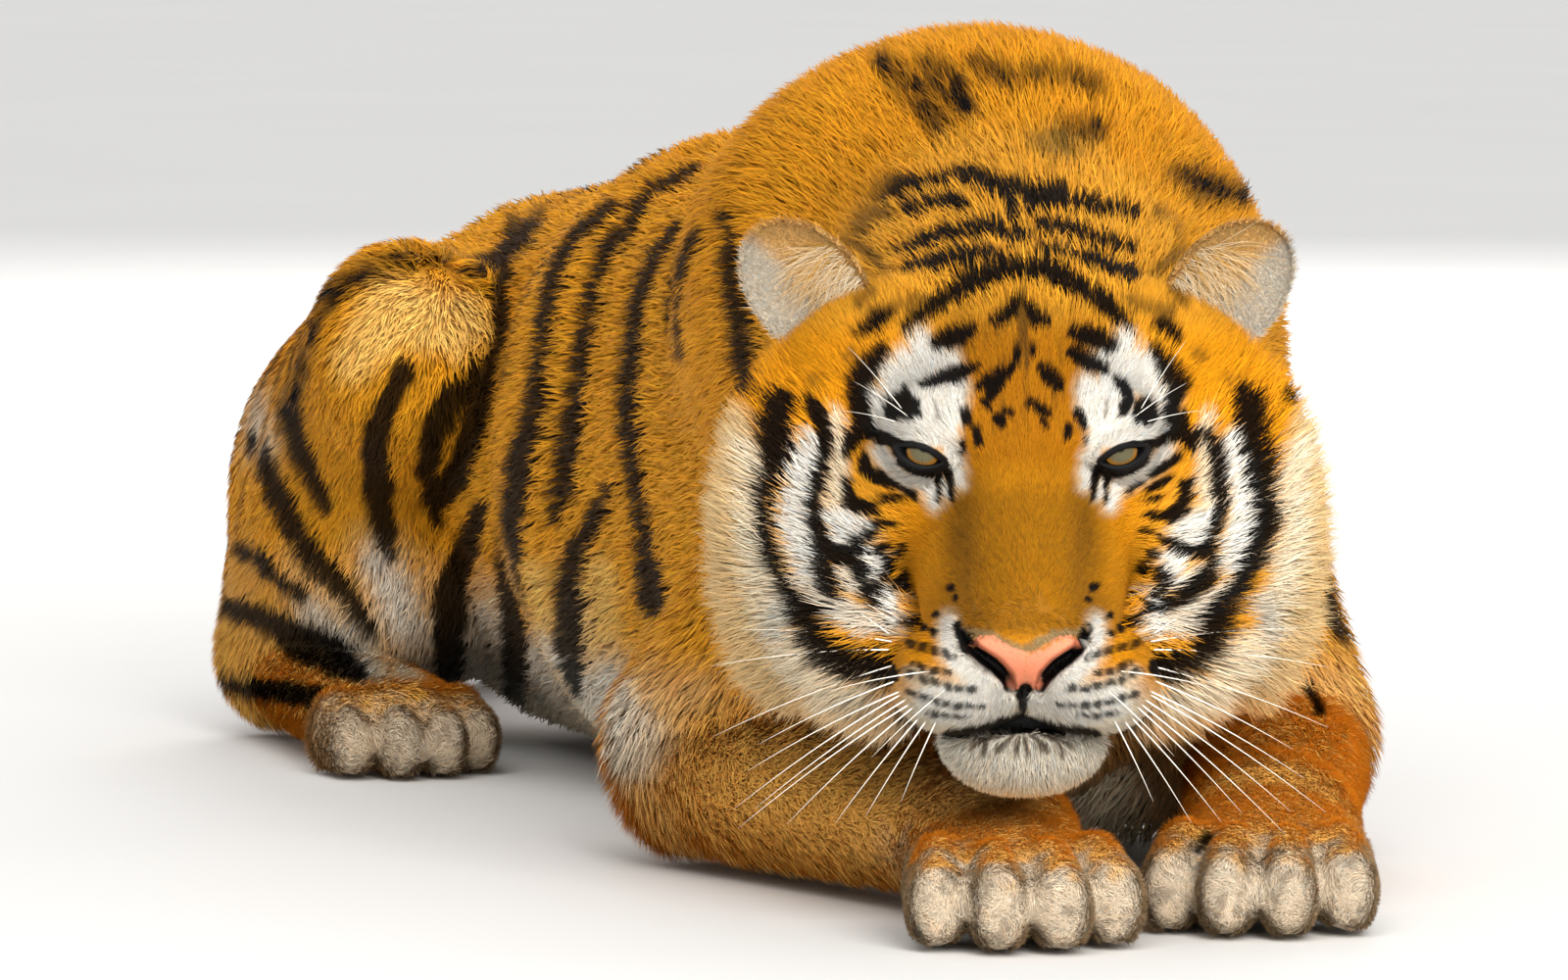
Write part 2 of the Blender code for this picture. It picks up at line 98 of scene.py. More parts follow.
# The coat, region by region, in mm: how deep the skin lies, how long the hairs are, how far apart and how
# wide the tufts, and whether their strands bend over.
coat = {
    "nose": dict(depth=0.4, length=2.0, gap=1.5, width=0.6, bent=False),
    "muzzle": dict(depth=2.2, length=6.0, gap=1.15, width=0.6, bent=False),
    "face": dict(depth=3.6, length=8.0, gap=1.3, width=0.65, bent=False),
    "crown": dict(depth=6.0, length=12.0, gap=1.5, width=0.75, bent=False),
    "cheek": dict(depth=8.0, length=17.0, gap=1.6, width=0.75, bent=True),
    "ruff": dict(depth=22.0, length=42.0, gap=2.2, width=0.95, bent=True),
    "chin": dict(depth=5.5, length=11.5, gap=1.5, width=0.62, bent=True),
    "neck": dict(depth=22.0, length=38.0, gap=3.0, width=1.5, bent=True),
    "hump": dict(depth=20.0, length=34.0, gap=3.2, width=1.6, bent=True),
    "trunk": dict(depth=18.0, length=32.0, gap=4.4, width=2.2, bent=True),
    "haunch": dict(depth=8.0, length=20.0, gap=3.3, width=1.5, bent=True),
    "foreleg": dict(depth=5.5, length=18.0, gap=2.5, width=1.2, bent=False),
    "forepaw": dict(depth=3.2, length=11.0, gap=1.8, width=0.9, bent=False),
    "shank": dict(depth=7.0, length=19.0, gap=3.3, width=1.6, bent=False),
    "hindpaw": dict(depth=3.4, length=11.0, gap=2.3, width=1.1, bent=False),
    "tail": dict(depth=13.0, length=28.0, gap=3.5, width=1.8, bent=True),
}
regions = list(coat)


def ofCoat(key):
    # One of the coat's settings for every region, in metres
    return np.array([coat[region][key] for region in regions]) / 1000.0


depths = ofCoat("depth")
animal = {"body": [], "front": [], "rear": [], "tail": []}
blending = {
    "groups": 0.014,  # how softly legs and tail meet the body where they touch it
    "share": 0.014, "deep": 0.04,  # how fast a region's share falls off, and how deep it still grows
    "margin": 0.10,  # how far off a form is still felt
}


def addForm(group, region, a, b, ra, rb, k, rows, lie):
    # Keeps a form between joints a and b: their radii, how softly it blends (k), its axes and its coat's lie
    form = dict(a=np.array(a, float), b=np.array(b, float), ra=np.array(ra, float), rb=np.array(rb, float))
    form.update(k=k, rows=rows, region=regions.index(region), lie=np.array(lie, float))
    form["middle"] = (form["a"] + form["b"]) / 2.0
    widest = max(form["ra"].max(), form["rb"].max())
    form["reach"] = np.linalg.norm(form["b"] - form["a"]) / 2.0 + widest + blending["margin"]
    animal[group].append(form)


def cone(group, region, a, b, ra, rb, k, up=(0.0, 0.0, 1.0), lie=None):
    # An elliptic cone from joint a to joint b with (along, side, up) radii; the coat lies along it
    a, b = np.array(a, float), np.array(b, float)
    axis = (b - a) / np.linalg.norm(b - a)
    side = np.cross(axis, up)
    side /= np.linalg.norm(side)
    rows = np.array((axis, side, np.cross(side, axis)))
    addForm(group, region, a, b, ra, rb, k, rows, axis if lie is None else lie)


def blob(group, region, centre, radii, k, lie, rows=np.eye(3)):
    # An ellipsoid: a form whose two joints are one
    addForm(group, region, centre, centre, radii, radii, k, rows, lie)


def headBlob(region, centre, radii, k, tilt=0.0, roll=0.0):
    # A head ellipsoid in mm, tilted about the left axis and rolled about the out axis
    turn = Matrix.Rotation(math.radians(roll), 3, "Z") @ Matrix.Rotation(math.radians(tilt), 3, "X")
    rows = np.array(turn.transposed()) @ headRows
    blob("body", region, face(*centre), np.array(radii) / 1000.0, k / 1000.0, (0, 0, 0), rows)


def headCone(region, a, b, ra, rb, k):
    # The same for an elliptic cone of the head, its third radius between up and out
    up = headRows[1] + headRows[2]
    ra, rb = np.array(ra) / 1000.0, np.array(rb) / 1000.0
    cone("body", region, face(*a), face(*b), ra, rb, k / 1000.0, up, (0, 0, 0))


elbows = {"left": (0.174, -0.095, 0.074), "right": (-0.198, 0.005, 0.072)}


def addTrunk():
    # Barrel, loins, rump, belly, chest and neck, then the shoulder blade and upper arm of each side
    back = (0.0, 1.0, -0.35)
    for region, a, b, ra, rb, k in (
        ("trunk", (0, 0.0, 0.27), (0, 0.42, 0.235), (0.15, 0.168, 0.236), (0.15, 0.172, 0.222), 0.05),
        ("trunk", (0, 0.40, 0.234), (0, 0.80, 0.226), (0.12, 0.168, 0.218), (0.12, 0.142, 0.178), 0.05),
        ("haunch", (0, 0.80, 0.220), (0, 0.96, 0.190), (0.10, 0.135, 0.155), (0.08, 0.100, 0.118), 0.05),
        ("trunk", (0, 0.14, 0.140), (0, 0.78, 0.130), (0.10, 0.130, 0.125), (0.10, 0.090, 0.118), 0.05),
        ("hump", (-0.02, -0.13, 0.18), (0, 0.12, 0.17), (0.09, 0.115, 0.125), (0.09, 0.140, 0.150), 0.06),
    ):
        cone("body", region, a, b, ra, rb, k, lie=back)
    nape, withers = face(0, 10, -150), (0.0, -0.05, 0.36)
    cone("body", "neck", nape, withers, (0.09, 0.130, 0.130), (0.11, 0.165, 0.165), 0.07, lie=(0.1, 0.9, 0.1))
    blob("body", "trunk", (0.095, 0.05, 0.056), (0.095, 0.15, 0.062), 0.03, lie=back)
    blob("body", "hump", (0.006, 0.03, 0.388), (0.160, 0.17, 0.155), 0.08, lie=(0, 1, 0.1))
    scapulae = {
        "left": ((0.105, 0.06, 0.40), (0.075, -0.13, 0.26)),
        "right": ((-0.090, 0.05, 0.39), (-0.106, -0.13, 0.25)),
    }
    for side, s in sides:
        top, point = scapulae[side]
        down = (s * 0.25, 0.45, -0.8)
        cone("body", "hump", top, point, (0.07, 0.075, 0.10), (0.07, 0.070, 0.09), 0.08, lie=down)
        start = (point[0] + s * 0.02, point[1], 0.21)
        cone("body", "hump", start, elbows[side], (0.07, 0.075, 0.10), (0.05, 0.062, 0.075), 0.06, lie=down)


def addToes(group, region, paw, ahead, toes, lie):
    # Toes fanned across a paw, each a short cone bent down towards its tip
    beside = np.array((-ahead[1], ahead[0], 0.0))
    for across, reach in toes["spots"]:
        knuckle = paw + beside * across + ahead * reach
        knuckle[2] = toes["height"]
        fan = ahead + beside * across * toes["fan"]
        fan /= np.linalg.norm(fan)
        start = knuckle - fan * toes["back"] + np.array((0.0, 0.0, toes["drop"]))
        end = knuckle + fan * toes["tip"]
        cone(group, region, start, end, toes["ra"], toes["rb"], toes["k"], lie=lie)


def addForelegs():
    # Each forearm and paw, laid out in front along the floor
    toes = {
        "spots": ((-0.052, 0.028), (-0.018, 0.052), (0.018, 0.052), (0.052, 0.028)),
        "height": 0.0285, "fan": 3.0, "back": 0.025, "drop": 0.006, "tip": 0.018, "k": 0.009,
        "ra": (0.024, 0.022, 0.036), "rb": (0.024, 0.021, 0.031),
    }
    ends = {
        "left": ((0.072, -0.315, 0.050), (0.018, -0.425, 0.036)),
        "right": ((-0.130, -0.335, 0.050), (-0.156, -0.440, 0.036)),
    }
    for side, _ in sides:
        elbow, wrist, paw = (np.array(joint) for joint in (elbows[side], *ends[side]))
        cone("front", "foreleg", elbow, wrist, (0.055, 0.064, 0.070), (0.045, 0.054, 0.045), 0.03)
        cone("front", "forepaw", wrist, paw, (0.045, 0.055, 0.042), (0.045, 0.060, 0.036), 0.02)
        ahead = (paw - wrist) * (1, 1, 0)
        ahead /= np.linalg.norm(ahead)
        addToes("front", "forepaw", paw, ahead, toes, ahead)


def addHindLegs():
    # Each folded hind leg: thigh, buttock, shank and the foot flat on the floor
    toes = {
        "spots": ((-0.047, 0.020), (-0.016, 0.040), (0.016, 0.040), (0.047, 0.020)),
        "height": 0.026, "fan": 0.0, "back": 0.022, "drop": 0.005, "tip": 0.020, "k": 0.009,
        "ra": (0.020, 0.020, 0.033), "rb": (0.022, 0.019, 0.028),
    }
    joints = ((0.092, 0.90, 0.207), (0.180, 0.645, 0.302), (0.194, 0.90, 0.060), (0.196, 0.63, 0.034))
    for _, s in sides:
        hip, knee, heel, foot = (np.array(joint) * (s, 1, 1) for joint in joints)
        down = (s * 0.2, 0.35, -0.9)
        cone("body", "haunch", hip, knee, (0.10, 0.124, 0.128), (0.072, 0.066, 0.077), 0.06, lie=down)
        a, b = (s * 0.130, 0.89, 0.14), (s * 0.155, 0.76, 0.17)
        cone("body", "haunch", a, b, (0.09, 0.098, 0.13), (0.08, 0.088, 0.11), 0.05, lie=down)
        cone("body", "shank", knee, heel, (0.05, 0.058, 0.068), (0.05, 0.050, 0.062), 0.04)
        cone("rear", "shank", heel, foot, (0.045, 0.045, 0.050), (0.045, 0.060, 0.037), 0.03)
        ahead = np.array((0.0, -1.0, 0.0))
        addToes("rear", "hindpaw", foot, ahead, toes, ahead)


tail = {
    "radius": 0.052, "taper": 0.0022,  # the tail thins by the taper at each joint
    "path": (
        (0.0, 1.04, 0.195), (0.005, 1.12, 0.135), (0.04, 1.18, 0.075), (0.11, 1.215, 0.046),
        (0.20, 1.205, 0.042), (0.285, 1.15, 0.040), (0.335, 1.06, 0.039), (0.36, 0.95, 0.038),
        (0.37, 0.83, 0.036), (0.372, 0.71, 0.034), (0.365, 0.60, 0.032),
    ),
}


def addTail():
    # Round cones from joint to joint of the tail's path, each thinner than the last
    path = tail["path"]
    for i in range(len(path) - 1):
        r = tail["radius"] - tail["taper"] * i
        cone("tail", "tail", path[i], path[i + 1], (r, r, r), (r - tail["taper"],) * 3, 0.02)


def addHead():
    # Skull, bridge and muzzle, nose, chin and throat, then the brow, cheek and ruff of each side
    headBlob("crown", (0, 18, -112), (90, 84, 100), 30)
    headCone("face", (0, 14, -34), (0, -90, 70), (24, 30, 20), (24, 29, 22), 30)
    headCone("face", (0, -28, -62), (0, -108, 10), (40, 76, 50), (40, 60, 52), 30)
    headBlob("nose", (0, -112, 82), (35, 20, 23), 16, tilt=-15)
    headBlob("muzzle", (0, -122, 34), (58, 42, 50), 20, tilt=-25)
    headCone("chin", (0, -158, 8), (0, -112, -70), (34, 50, 32), (50, 68, 46), 20)
    headBlob("chin", (0, -174, 14), (51, 33, 34), 16)
    headBlob("ruff", (0, -98, -125), (90, 66, 86), 36)
    for _, s in sides:
        headBlob("face", (s * 56, 8, -38), (33, 33, 29), 34, roll=s * 10)
        headBlob("muzzle", (s * 41, -132, 56), (42, 36, 38), 14, tilt=-10, roll=s * -12)
        headCone("cheek", (s * 70, -34, -58), (s * 106, 0, -114), (32, 32, 32), (44, 44, 48), 24)
        headBlob("cheek", (s * 94, -62, -92), (60, 68, 60), 30)
        headBlob("ruff", (s * 134, -48, -106), (58, 112, 56), 28)
        headBlob("ruff", (s * 84, -114, -86), (64, 58, 60), 28)
        headBlob("crown", (s * 88, 48, -124), (60, 58, 60), 36)


for addPart in (addTrunk, addForelegs, addHindLegs, addTail, addHead):
    addPart()


def distance(form, p):
    # How far each point lies from a form, negative inside: k0 (k0 - 1) / k1, where k0 is the length of the
    # offset over the radii, and k1 that of the offset over the radii twice
    ab = form["b"] - form["a"]
    q = p - form["a"]
    radii = form["ra"]
    if ab @ ab > 0.0:
        t = np.clip(q @ ab / (ab @ ab), 0.0, 1.0)[:, None]
        q = q - t * ab
        radii = radii + t * (form["rb"] - radii)
    s = q @ form["rows"].T / radii
    k0 = np.sqrt((s * s).sum(1)) + 1e-9
    s = s / radii
    return k0 * (k0 - 1.0) / (np.sqrt((s * s).sum(1)) + 1e-9)


def blend(a, b, k):
    # The smaller of two distances, rounded where they differ by less than k
    h = np.maximum(k - np.abs(a - b), 0.0) / k
    return np.minimum(a, b) - h * h * k * 0.25


def survey(p):
    # The animal's blended distance at each point, each region's share there, and the lie of the coat
    whole = np.ones(len(p))
    share = np.full((len(p), len(regions)), 1e-9)
    lie = np.zeros((len(p), 3))
    for members in animal.values():
        d = np.ones(len(p))
        for form in members:
            near = np.flatnonzero(((p - form["middle"]) ** 2).sum(1) < form["reach"] ** 2)
            own = distance(form, p[near])
            d[near] = blend(d[near], own, form["k"])
            weight = np.exp(-np.maximum(own, -blending["deep"]) / blending["share"])
            share[near, form["region"]] += weight
            lie[near] += weight[:, None] * form["lie"]
        whole = blend(whole, d, blending["groups"])
    return whole, share / share.sum(1, keepdims=True), lie


def smooth(x, low, high):
    # 0 below low, 1 above high, eased between
    t = np.clip((x - low) / (high - low), 0.0, 1.0)
    return t * t * (3.0 - 2.0 * t)


def ripple(p, wave, seed):
    # Smooth noise from -1 to 1 whose bumps are about a wave apart: sines in seeded directions
    rng = np.random.default_rng(seed)
    total = np.zeros(len(p))
    for octave in range(2):
        for _ in range(4):
            way = rng.normal(size=3)
            way *= 2.0 * math.pi * 2.0 ** octave / (wave * np.linalg.norm(way))
            total += np.sin(p @ way + rng.uniform(0.0, 6.3)) / (4.0 * 1.4 ** octave)
    return np.clip(total * 1.25, -1.0, 1.0)


def alongStroke(q, stroke):
    # The least of (distance to the stroke - its half width), in mm, for points on the flat of the face
    marks = np.array(stroke, float)
    if len(marks) == 1:
        return np.hypot(q[:, 0] - marks[0, 0], q[:, 1] - marks[0, 1]) - marks[0, 2]
    best = np.full(len(q), 1e3)
    for a, b in zip(marks[:-1], marks[1:]):
        ab = b[:2] - a[:2]
        t = np.clip((q - a[:2]) @ ab / (ab @ ab), 0.0, 1.0)
        off = q - a[:2] - t[:, None] * ab
        best = np.minimum(best, np.hypot(off[:, 0], off[:, 1]) - (a[2] + t * (b[2] - a[2])))
    return best


def inOutline(q, corners):
    # Signed distance in mm to a closed outline, negative inside
    corners = np.array(corners, float)
    best = np.full(len(q), 1e3)
    inside = np.zeros(len(q), bool)
    for a, b in zip(corners, np.roll(corners, -1, axis=0)):
        ab = b - a
        t = np.clip((q - a) @ ab / (ab @ ab), 0.0, 1.0)
        off = q - a - t[:, None] * ab
        best = np.minimum(best, np.hypot(off[:, 0], off[:, 1]))
        spans = (a[1] > q[:, 1]) != (b[1] > q[:, 1])
        rise = ab[1] if ab[1] else 1e-9
        inside ^= spans & (q[:, 0] < a[0] + (q[:, 1] - a[1]) * ab[0] / rise)
    return np.where(inside, -best, best)


# The face's features in mm: an almond between two corners, the nose leather, nostrils and lip lines
features = {
    "corners": ((48.5, -1.5), (77.0, 8.3)),  # of each eye
    "upper": 4.5, "lower": 7.0,  # how far the lids bow from the line between the corners
    "lid": 21.6, "eyeRise": 3.5,  # the lids' outer radius, and how far their centre is above the solid's
    "sink": 0.40,  # how far the skin in the opening goes back, as a share of its distance to the eye's centre
    "leather": (
        (0, -116), (8, -113.5), (15, -109), (20, -106), (28, -106), (32, -109), (31, -112.5),
        (24, -116), (18, -120), (13, -125), (9.5, -130), (10, -135), (7, -139), (0, -138.5),
    ),
    "nostril": (
        (37.5, -101, 2.2), (35, -108, 3.2), (31, -115, 3.8), (25, -119.5, 4.4), (18, -124.5, 4.8),
        (12, -131, 4.4), (9, -138, 3),
    ),
    "philtrum": ((0, -139.5, 4), (0, -145, 1.8), (0, -152, 1.0)),
    "lips": ((0, -160, 6.5), (10, -162.5, 4.6), (20, -165.3, 2.7), (32, -167.3, 1.6), (48, -169.0, 1.2)),
}


def eyeLine():
    # The line between the eye's corners: its middle, half its length and its direction
    a, b = (np.array(corner) for corner in features["corners"])
    half = np.linalg.norm(b - a) / 2.0
    return (a + b) / 2.0, half, (b - a) / (2.0 * half)


def lidArcs(half):
    # For each lid: how far it bows, which way, and the radius of its arc, (half^2 + bow^2) / (2 bow)
    for bow, sign in ((features["upper"], 1.0), (features["lower"], -1.0)):
        yield bow, sign, (half * half + bow * bow) / (2.0 * bow)


def almond(x, v):
    # Signed distance in mm to the eye's opening: the overlap of two circles through its corners
    middle, half, along = eyeLine()
    u = (x - middle[0]) * along[0] + (v - middle[1]) * along[1]
    up = (v - middle[1]) * along[0] - (x - middle[0]) * along[1]
    return np.maximum(*[np.hypot(u, up - sign * (bow - r)) - r for bow, sign, r in lidArcs(half)])


def skinField(p):
    # The skin's distance: the animal's, set in by the coat, with the face's features and the floor's level
    whole, share, _ = survey(p)
    d = whole + share @ depths
    q = toHead(p)
    near = np.flatnonzero((np.abs(q[:, 0]) < 110) & (np.abs(q[:, 1] + 70) < 130) & (q[:, 2] > -75))
    d[near] = faceField(q[near], d[near])
    return np.maximum(d, skin["floor"] - p[:, 2])


def eyeCentre():
    # Where the globe and its lids are centred, on the head
    return np.array(head["eye"]) + (0.0, features["eyeRise"], 0.0)


def faceField(q, d):
    # Lids round each eye, an opening in them, nostrils, the groove under the nose and the lips
    x, v, w = np.abs(q[:, 0]), q[:, 1], q[:, 2]
    flat = np.stack((x, v), 1)
    front = smooth(w, -20.0, 10.0)
    groove = 9.0 * smooth(-alongStroke(flat, features["lips"]), -2.0, 2.5) * front
    groove += 3.5 * smooth(-alongStroke(flat, features["philtrum"]), -2.0, 3.0) * front
    groove += 10.0 * smooth(-alongStroke(flat, features["nostril"]), -1.5, 3.0) * smooth(w, 50.0, 66.0)
    ring = almond(x, v)
    corner = 5.0 * np.exp(-((np.hypot(x - 42, v + 4) / 11.0) ** 2))  # the dip between the eye and the bridge
    crease = 2.0 * np.exp(-((ring - 9.0) / 4.0) ** 2) * (w > -40)
    d = d + (groove + (corner + crease)) / 1000.0
    globe = eyeCentre()
    ball = np.sqrt((x - globe[0]) ** 2 + (v - globe[1]) ** 2 + (w - globe[2]) ** 2)
    swell = features["lid"] - 4.0 * smooth(ring, 1.0, 12.0) - 8.0 * smooth(ring, 8.0, 20.0)
    return blend(d, (ball - swell) / 1000.0, 0.004)


def openLids(points):
    # Sinks the skin inside each eye's opening towards the eye's centre, to behind the globe's front
    q = toHead(points)
    beside = np.abs(np.abs(q[:, 0]) - 63.0) < 24.0
    near = np.flatnonzero(beside & (np.abs(q[:, 1]) < 30.0) & (q[:, 2] > -40.0))
    mirror = np.stack((np.abs(q[near, 0]), q[near, 1], q[near, 2]), 1)
    sink = features["sink"] * smooth(-almond(mirror[:, 0], mirror[:, 1]), -0.3, 0.9)
    moved = eyeCentre() + (mirror - eyeCentre()) * (1.0 - sink)[:, None]
    moved[:, 0] *= np.sign(q[near, 0])
    points[near] = between + moved @ headRows / 1000.0
    return points


def settle(p, field, steps):
    # Moves points along the field's slope onto its zero, the slope taken from four samples round each
    corners = np.array(((1, -1, -1), (-1, -1, 1), (-1, 1, -1), (1, 1, 1)), float)
    step, longest = 0.0005, 0.012
    for _ in range(steps):
        samples = np.stack([field(p + c * step) for c in corners])
        slope = samples.T @ corners / (4.0 * step)
        move = samples.mean(0)[:, None] * slope / np.maximum((slope * slope).sum(1), 0.1)[:, None]
        p = p - np.clip(move, -longest, longest)
    return p


skin = {
    "low": (-0.43, -0.66, -0.03), "high": (0.46, 1.31, 0.60),  # the box to search, in the body's frame
    "step": 0.0080, "block": 4,  # the net's mesh, and how many of its points a coarse block spans
    "floor": 0.0035,  # the lowest that the skin goes
    "tone": 0.62, "earTone": 0.7,  # how much of the coat's brightness the skin under it keeps: painted shade for the depth of the coat
}


def fillGrid():
    # Which grid points lie inside the skin: coarse blocks first, then every point of the blocks it may cross
    low, step, block = np.array(skin["low"]), skin["step"], skin["block"]
    blocks = np.ceil((np.array(skin["high"]) - low) / (step * block)).astype(int)
    spots = np.stack(np.meshgrid(*[np.arange(n) for n in blocks], indexing="ij"), -1).reshape(-1, 3)
    coarse = skinField(low + (spots + 0.5 - 0.5 / block) * step * block)
    inside = (coarse < 0.0).reshape(blocks)
    for axis in range(3):
        inside = np.repeat(inside, block, axis)
    near = spots[np.abs(coarse) < step * block * 1.15]
    inner = np.stack(np.meshgrid(*[np.arange(block)] * 3, indexing="ij"), -1).reshape(-1, 3)
    points = (near[:, None] * block + inner).reshape(-1, 3)
    inside[tuple(points.T)] = skinField(low + points * step) < 0.0
    return inside


def surfaceNet(inside):
    # A point in every grid cell that the surface crosses, and a quad across every grid edge that it crosses
    size = inside.shape
    count = np.zeros(tuple(n - 1 for n in size), np.int8)
    for i, j, k in np.ndindex(2, 2, 2):
        count += inside[i:size[0] - 1 + i, j:size[1] - 1 + j, k:size[2] - 1 + k]
    mixed = (count > 0) & (count < 8)
    number = np.full(mixed.shape, -1)
    number[mixed] = np.arange(mixed.sum())
    quads = []
    for axis in range(3):
        u, v = (axis + 1) % 3, (axis + 2) % 3
        lower = np.take(inside, range(size[axis] - 1), axis)
        crossed = np.argwhere(lower != np.take(inside, range(1, size[axis]), axis))
        ring = []
        for du, dv in ((0, 0), (1, 0), (1, 1), (0, 1)):
            cell = crossed.copy()
            cell[:, u] -= du
            cell[:, v] -= dv
            ring.append(number[tuple(cell.T)])
        ring = np.stack(ring, 1)
        outward = lower[tuple(crossed.T)]
        quads.append(np.where(outward[:, None], ring, ring[:, ::-1]))
    points = np.array(skin["low"]) + (np.argwhere(mixed) + 0.5) * skin["step"]
    return points, np.concatenate(quads)


def relax(p, edges, rounds):
    # Each point moves half way to the mean of its neighbours
    ends, others = edges.T.ravel(), edges[:, ::-1].T.ravel()
    count = np.maximum(np.bincount(ends, minlength=len(p)), 1)[:, None]
    for _ in range(rounds):
        mean = np.stack([np.bincount(ends, p[others, i], len(p)) for i in range(3)], 1) / count
        p = p + 0.5 * (mean - p)
    return p


def meshArrays(mesh):
    # A mesh's points and the pairs of points that its edges join
    co = np.empty(len(mesh.vertices) * 3, np.float32)
    mesh.vertices.foreach_get("co", co)
    edges = np.empty(len(mesh.edges) * 2, np.int32)
    mesh.edges.foreach_get("vertices", edges)
    return co.reshape(-1, 3).astype(float), edges.reshape(-1, 2)


def setPoints(mesh, points):
    mesh.vertices.foreach_set("co", points.astype(np.float32).ravel())


def pointNormals(mesh):
    # The way the surface faces at each point of a mesh
    normals = np.empty(len(mesh.vertices) * 3, np.float32)
    mesh.vertex_normals.foreach_get("vector", normals)
    return normals.reshape(-1, 3).astype(float)


def refine(mesh, wanted):
    # Halves the edges of the faces whose corners all lie where wanted(points in mm) is true
    bm = bmesh.new()
    bm.from_mesh(mesh)
    bm.verts.ensure_lookup_table()
    marked = wanted(toHead(meshArrays(mesh)[0]))
    edges = [edge for edge in bm.edges if marked[edge.verts[0].index] and marked[edge.verts[1].index]]
    bmesh.ops.subdivide_edges(bm, edges=edges, cuts=1, use_grid_fill=True)
    bmesh.ops.triangulate(bm, faces=[f for f in bm.faces if len(f.verts) > 4])
    bm.to_mesh(mesh)
    bm.free()


def nearFeatures(q, reach):
    # True close to the eyes, nose and lips
    x, v, w = np.abs(q[:, 0]), q[:, 1], q[:, 2]
    flat = np.stack((x, v), 1)
    near = almond(x, v) < reach
    near |= inOutline(flat, features["leather"]) < reach
    near |= alongStroke(flat, features["lips"]) < reach * 0.6
    return near & (w > -40.0)


def makeBodySkin():
    # A net round the field's zero, settled onto it, then made finer on the face and finest at its features
    points, quads = surfaceNet(fillGrid())
    say("skin net of %d quads" % len(quads))
    mesh = bpy.data.meshes.new("skin")
    mesh.from_pydata(points.tolist(), [], quads.tolist())
    points, edges = meshArrays(mesh)
    for rounds, steps in ((3, 2), (2, 2), (1, 1)):
        points = settle(relax(points, edges, rounds), skinField, steps)
    setPoints(mesh, points)
    say("skin settled")
    stages = (
        lambda q: (np.abs(q[:, 0]) < 118) & (q[:, 1] > -200) & (q[:, 1] < 60) & (q[:, 2] > -70),
        lambda q: nearFeatures(q, 14.0),
        lambda q: nearFeatures(q, 6.0),
    )
    for wanted in stages:
        refine(mesh, wanted)
        points, edges = meshArrays(mesh)
        moved = np.flatnonzero(wanted(toHead(points)))
        points[moved] = settle(relax(points, edges, 1)[moved], skinField, 2)
        setPoints(mesh, points)
    setPoints(mesh, openLids(points))
    mesh.update()
    say("face refined: %d faces" % len(mesh.polygons))
    return mesh


# Each ear is a cup, an ellipse in outline; sizes in mm in its own frame
ear = {
    "centre": (131, 107, -128), "roll": 41.0, "turn": 20.0,  # degrees out and back
    "wide": 36.0, "tall": 49.0, "back": 17.0, "cup": 5.0, "rimDepth": 3.0,
    "around": 56, "across": 34,
}


def earRows(s):
    # Rows are an ear's own left, up and forward directions, mirrored for the right one
    roll = Matrix.Rotation(math.radians(s * -ear["roll"]), 3, "Z")
    turn = roll @ Matrix.Rotation(math.radians(s * ear["turn"]), 3, "Y")
    return np.array(turn.transposed()) @ headRows


def gridQuads(rows, around, looped=False):
    # Faces between neighbouring rings of points, and from the last ring to the first where looped
    i, j = np.meshgrid(np.arange(rows if looped else rows - 1), np.arange(around), indexing="ij")
    k, l = (i + 1) % rows, (j + 1) % around
    corners = (i * around + j, i * around + l, k * around + l, k * around + j)
    return np.stack(corners, -1).reshape(-1, 4)


def earCup(s):
    # A profile from the middle of the back, over the rim, to the middle of the cup, carried round an ellipse
    around = np.linspace(0.0, 2.0 * math.pi, ear["around"], endpoint=False)
    t = np.linspace(0.02, 0.98, ear["across"])
    reach = np.sin(math.pi * t) ** 0.8
    hollow = np.sqrt(np.maximum(1.0 - reach ** 2, 0.0))
    rim = ear["rimDepth"]
    depth = np.where(t < 0.5, -ear["back"] * hollow, rim - (rim + ear["cup"]) * hollow)
    depth = depth + rim * smooth(t, 0.40, 0.5) * (t < 0.5)
    x = reach[:, None] * np.cos(around) * ear["wide"]
    y = reach[:, None] * np.sin(around) * ear["tall"]
    grid = np.stack((x, y, np.broadcast_to(depth[:, None], x.shape)), -1).reshape(-1, 3) / 1000.0
    quads = gridQuads(ear["across"], ear["around"])
    x, v, w = ear["centre"]
    return face(s * x, v, w) + grid * (s, 1, 1) @ earRows(s), quads if s < 0 else quads[:, ::-1]


def toLinear(code):
    # An sRGB hex colour as linear values
    values = np.array([int(code[i:i + 2], 16) for i in (1, 3, 5)]) / 255.0
    return np.where(values <= 0.04045, values / 12.92, ((values + 0.055) / 1.055) ** 2.4)


# Pigments of the coat and the bare parts, by where each is seen
pigment = {
    "orange": "#D88C0F", "back": "#C67A0C", "bridge": "#94600A", "brow": "#9E6008", "flank": "#F0A828",
    "gold": "#E2A53A", "paw": "#ECB45A", "knee": "#F2BC60", "toe": "#C6BBA8", "sand": "#DFC08C",
    "cream": "#E6D6B8", "pale": "#CFC5B2", "white": "#DED7CA", "earGrey": "#CBBDA6", "fringe": "#94805A",
    "black": "#050302", "brown": "#3E2A10", "pink": "#DE8260", "lip": "#040303",
}
inks = {name: toLinear(code) for name, code in pigment.items()}

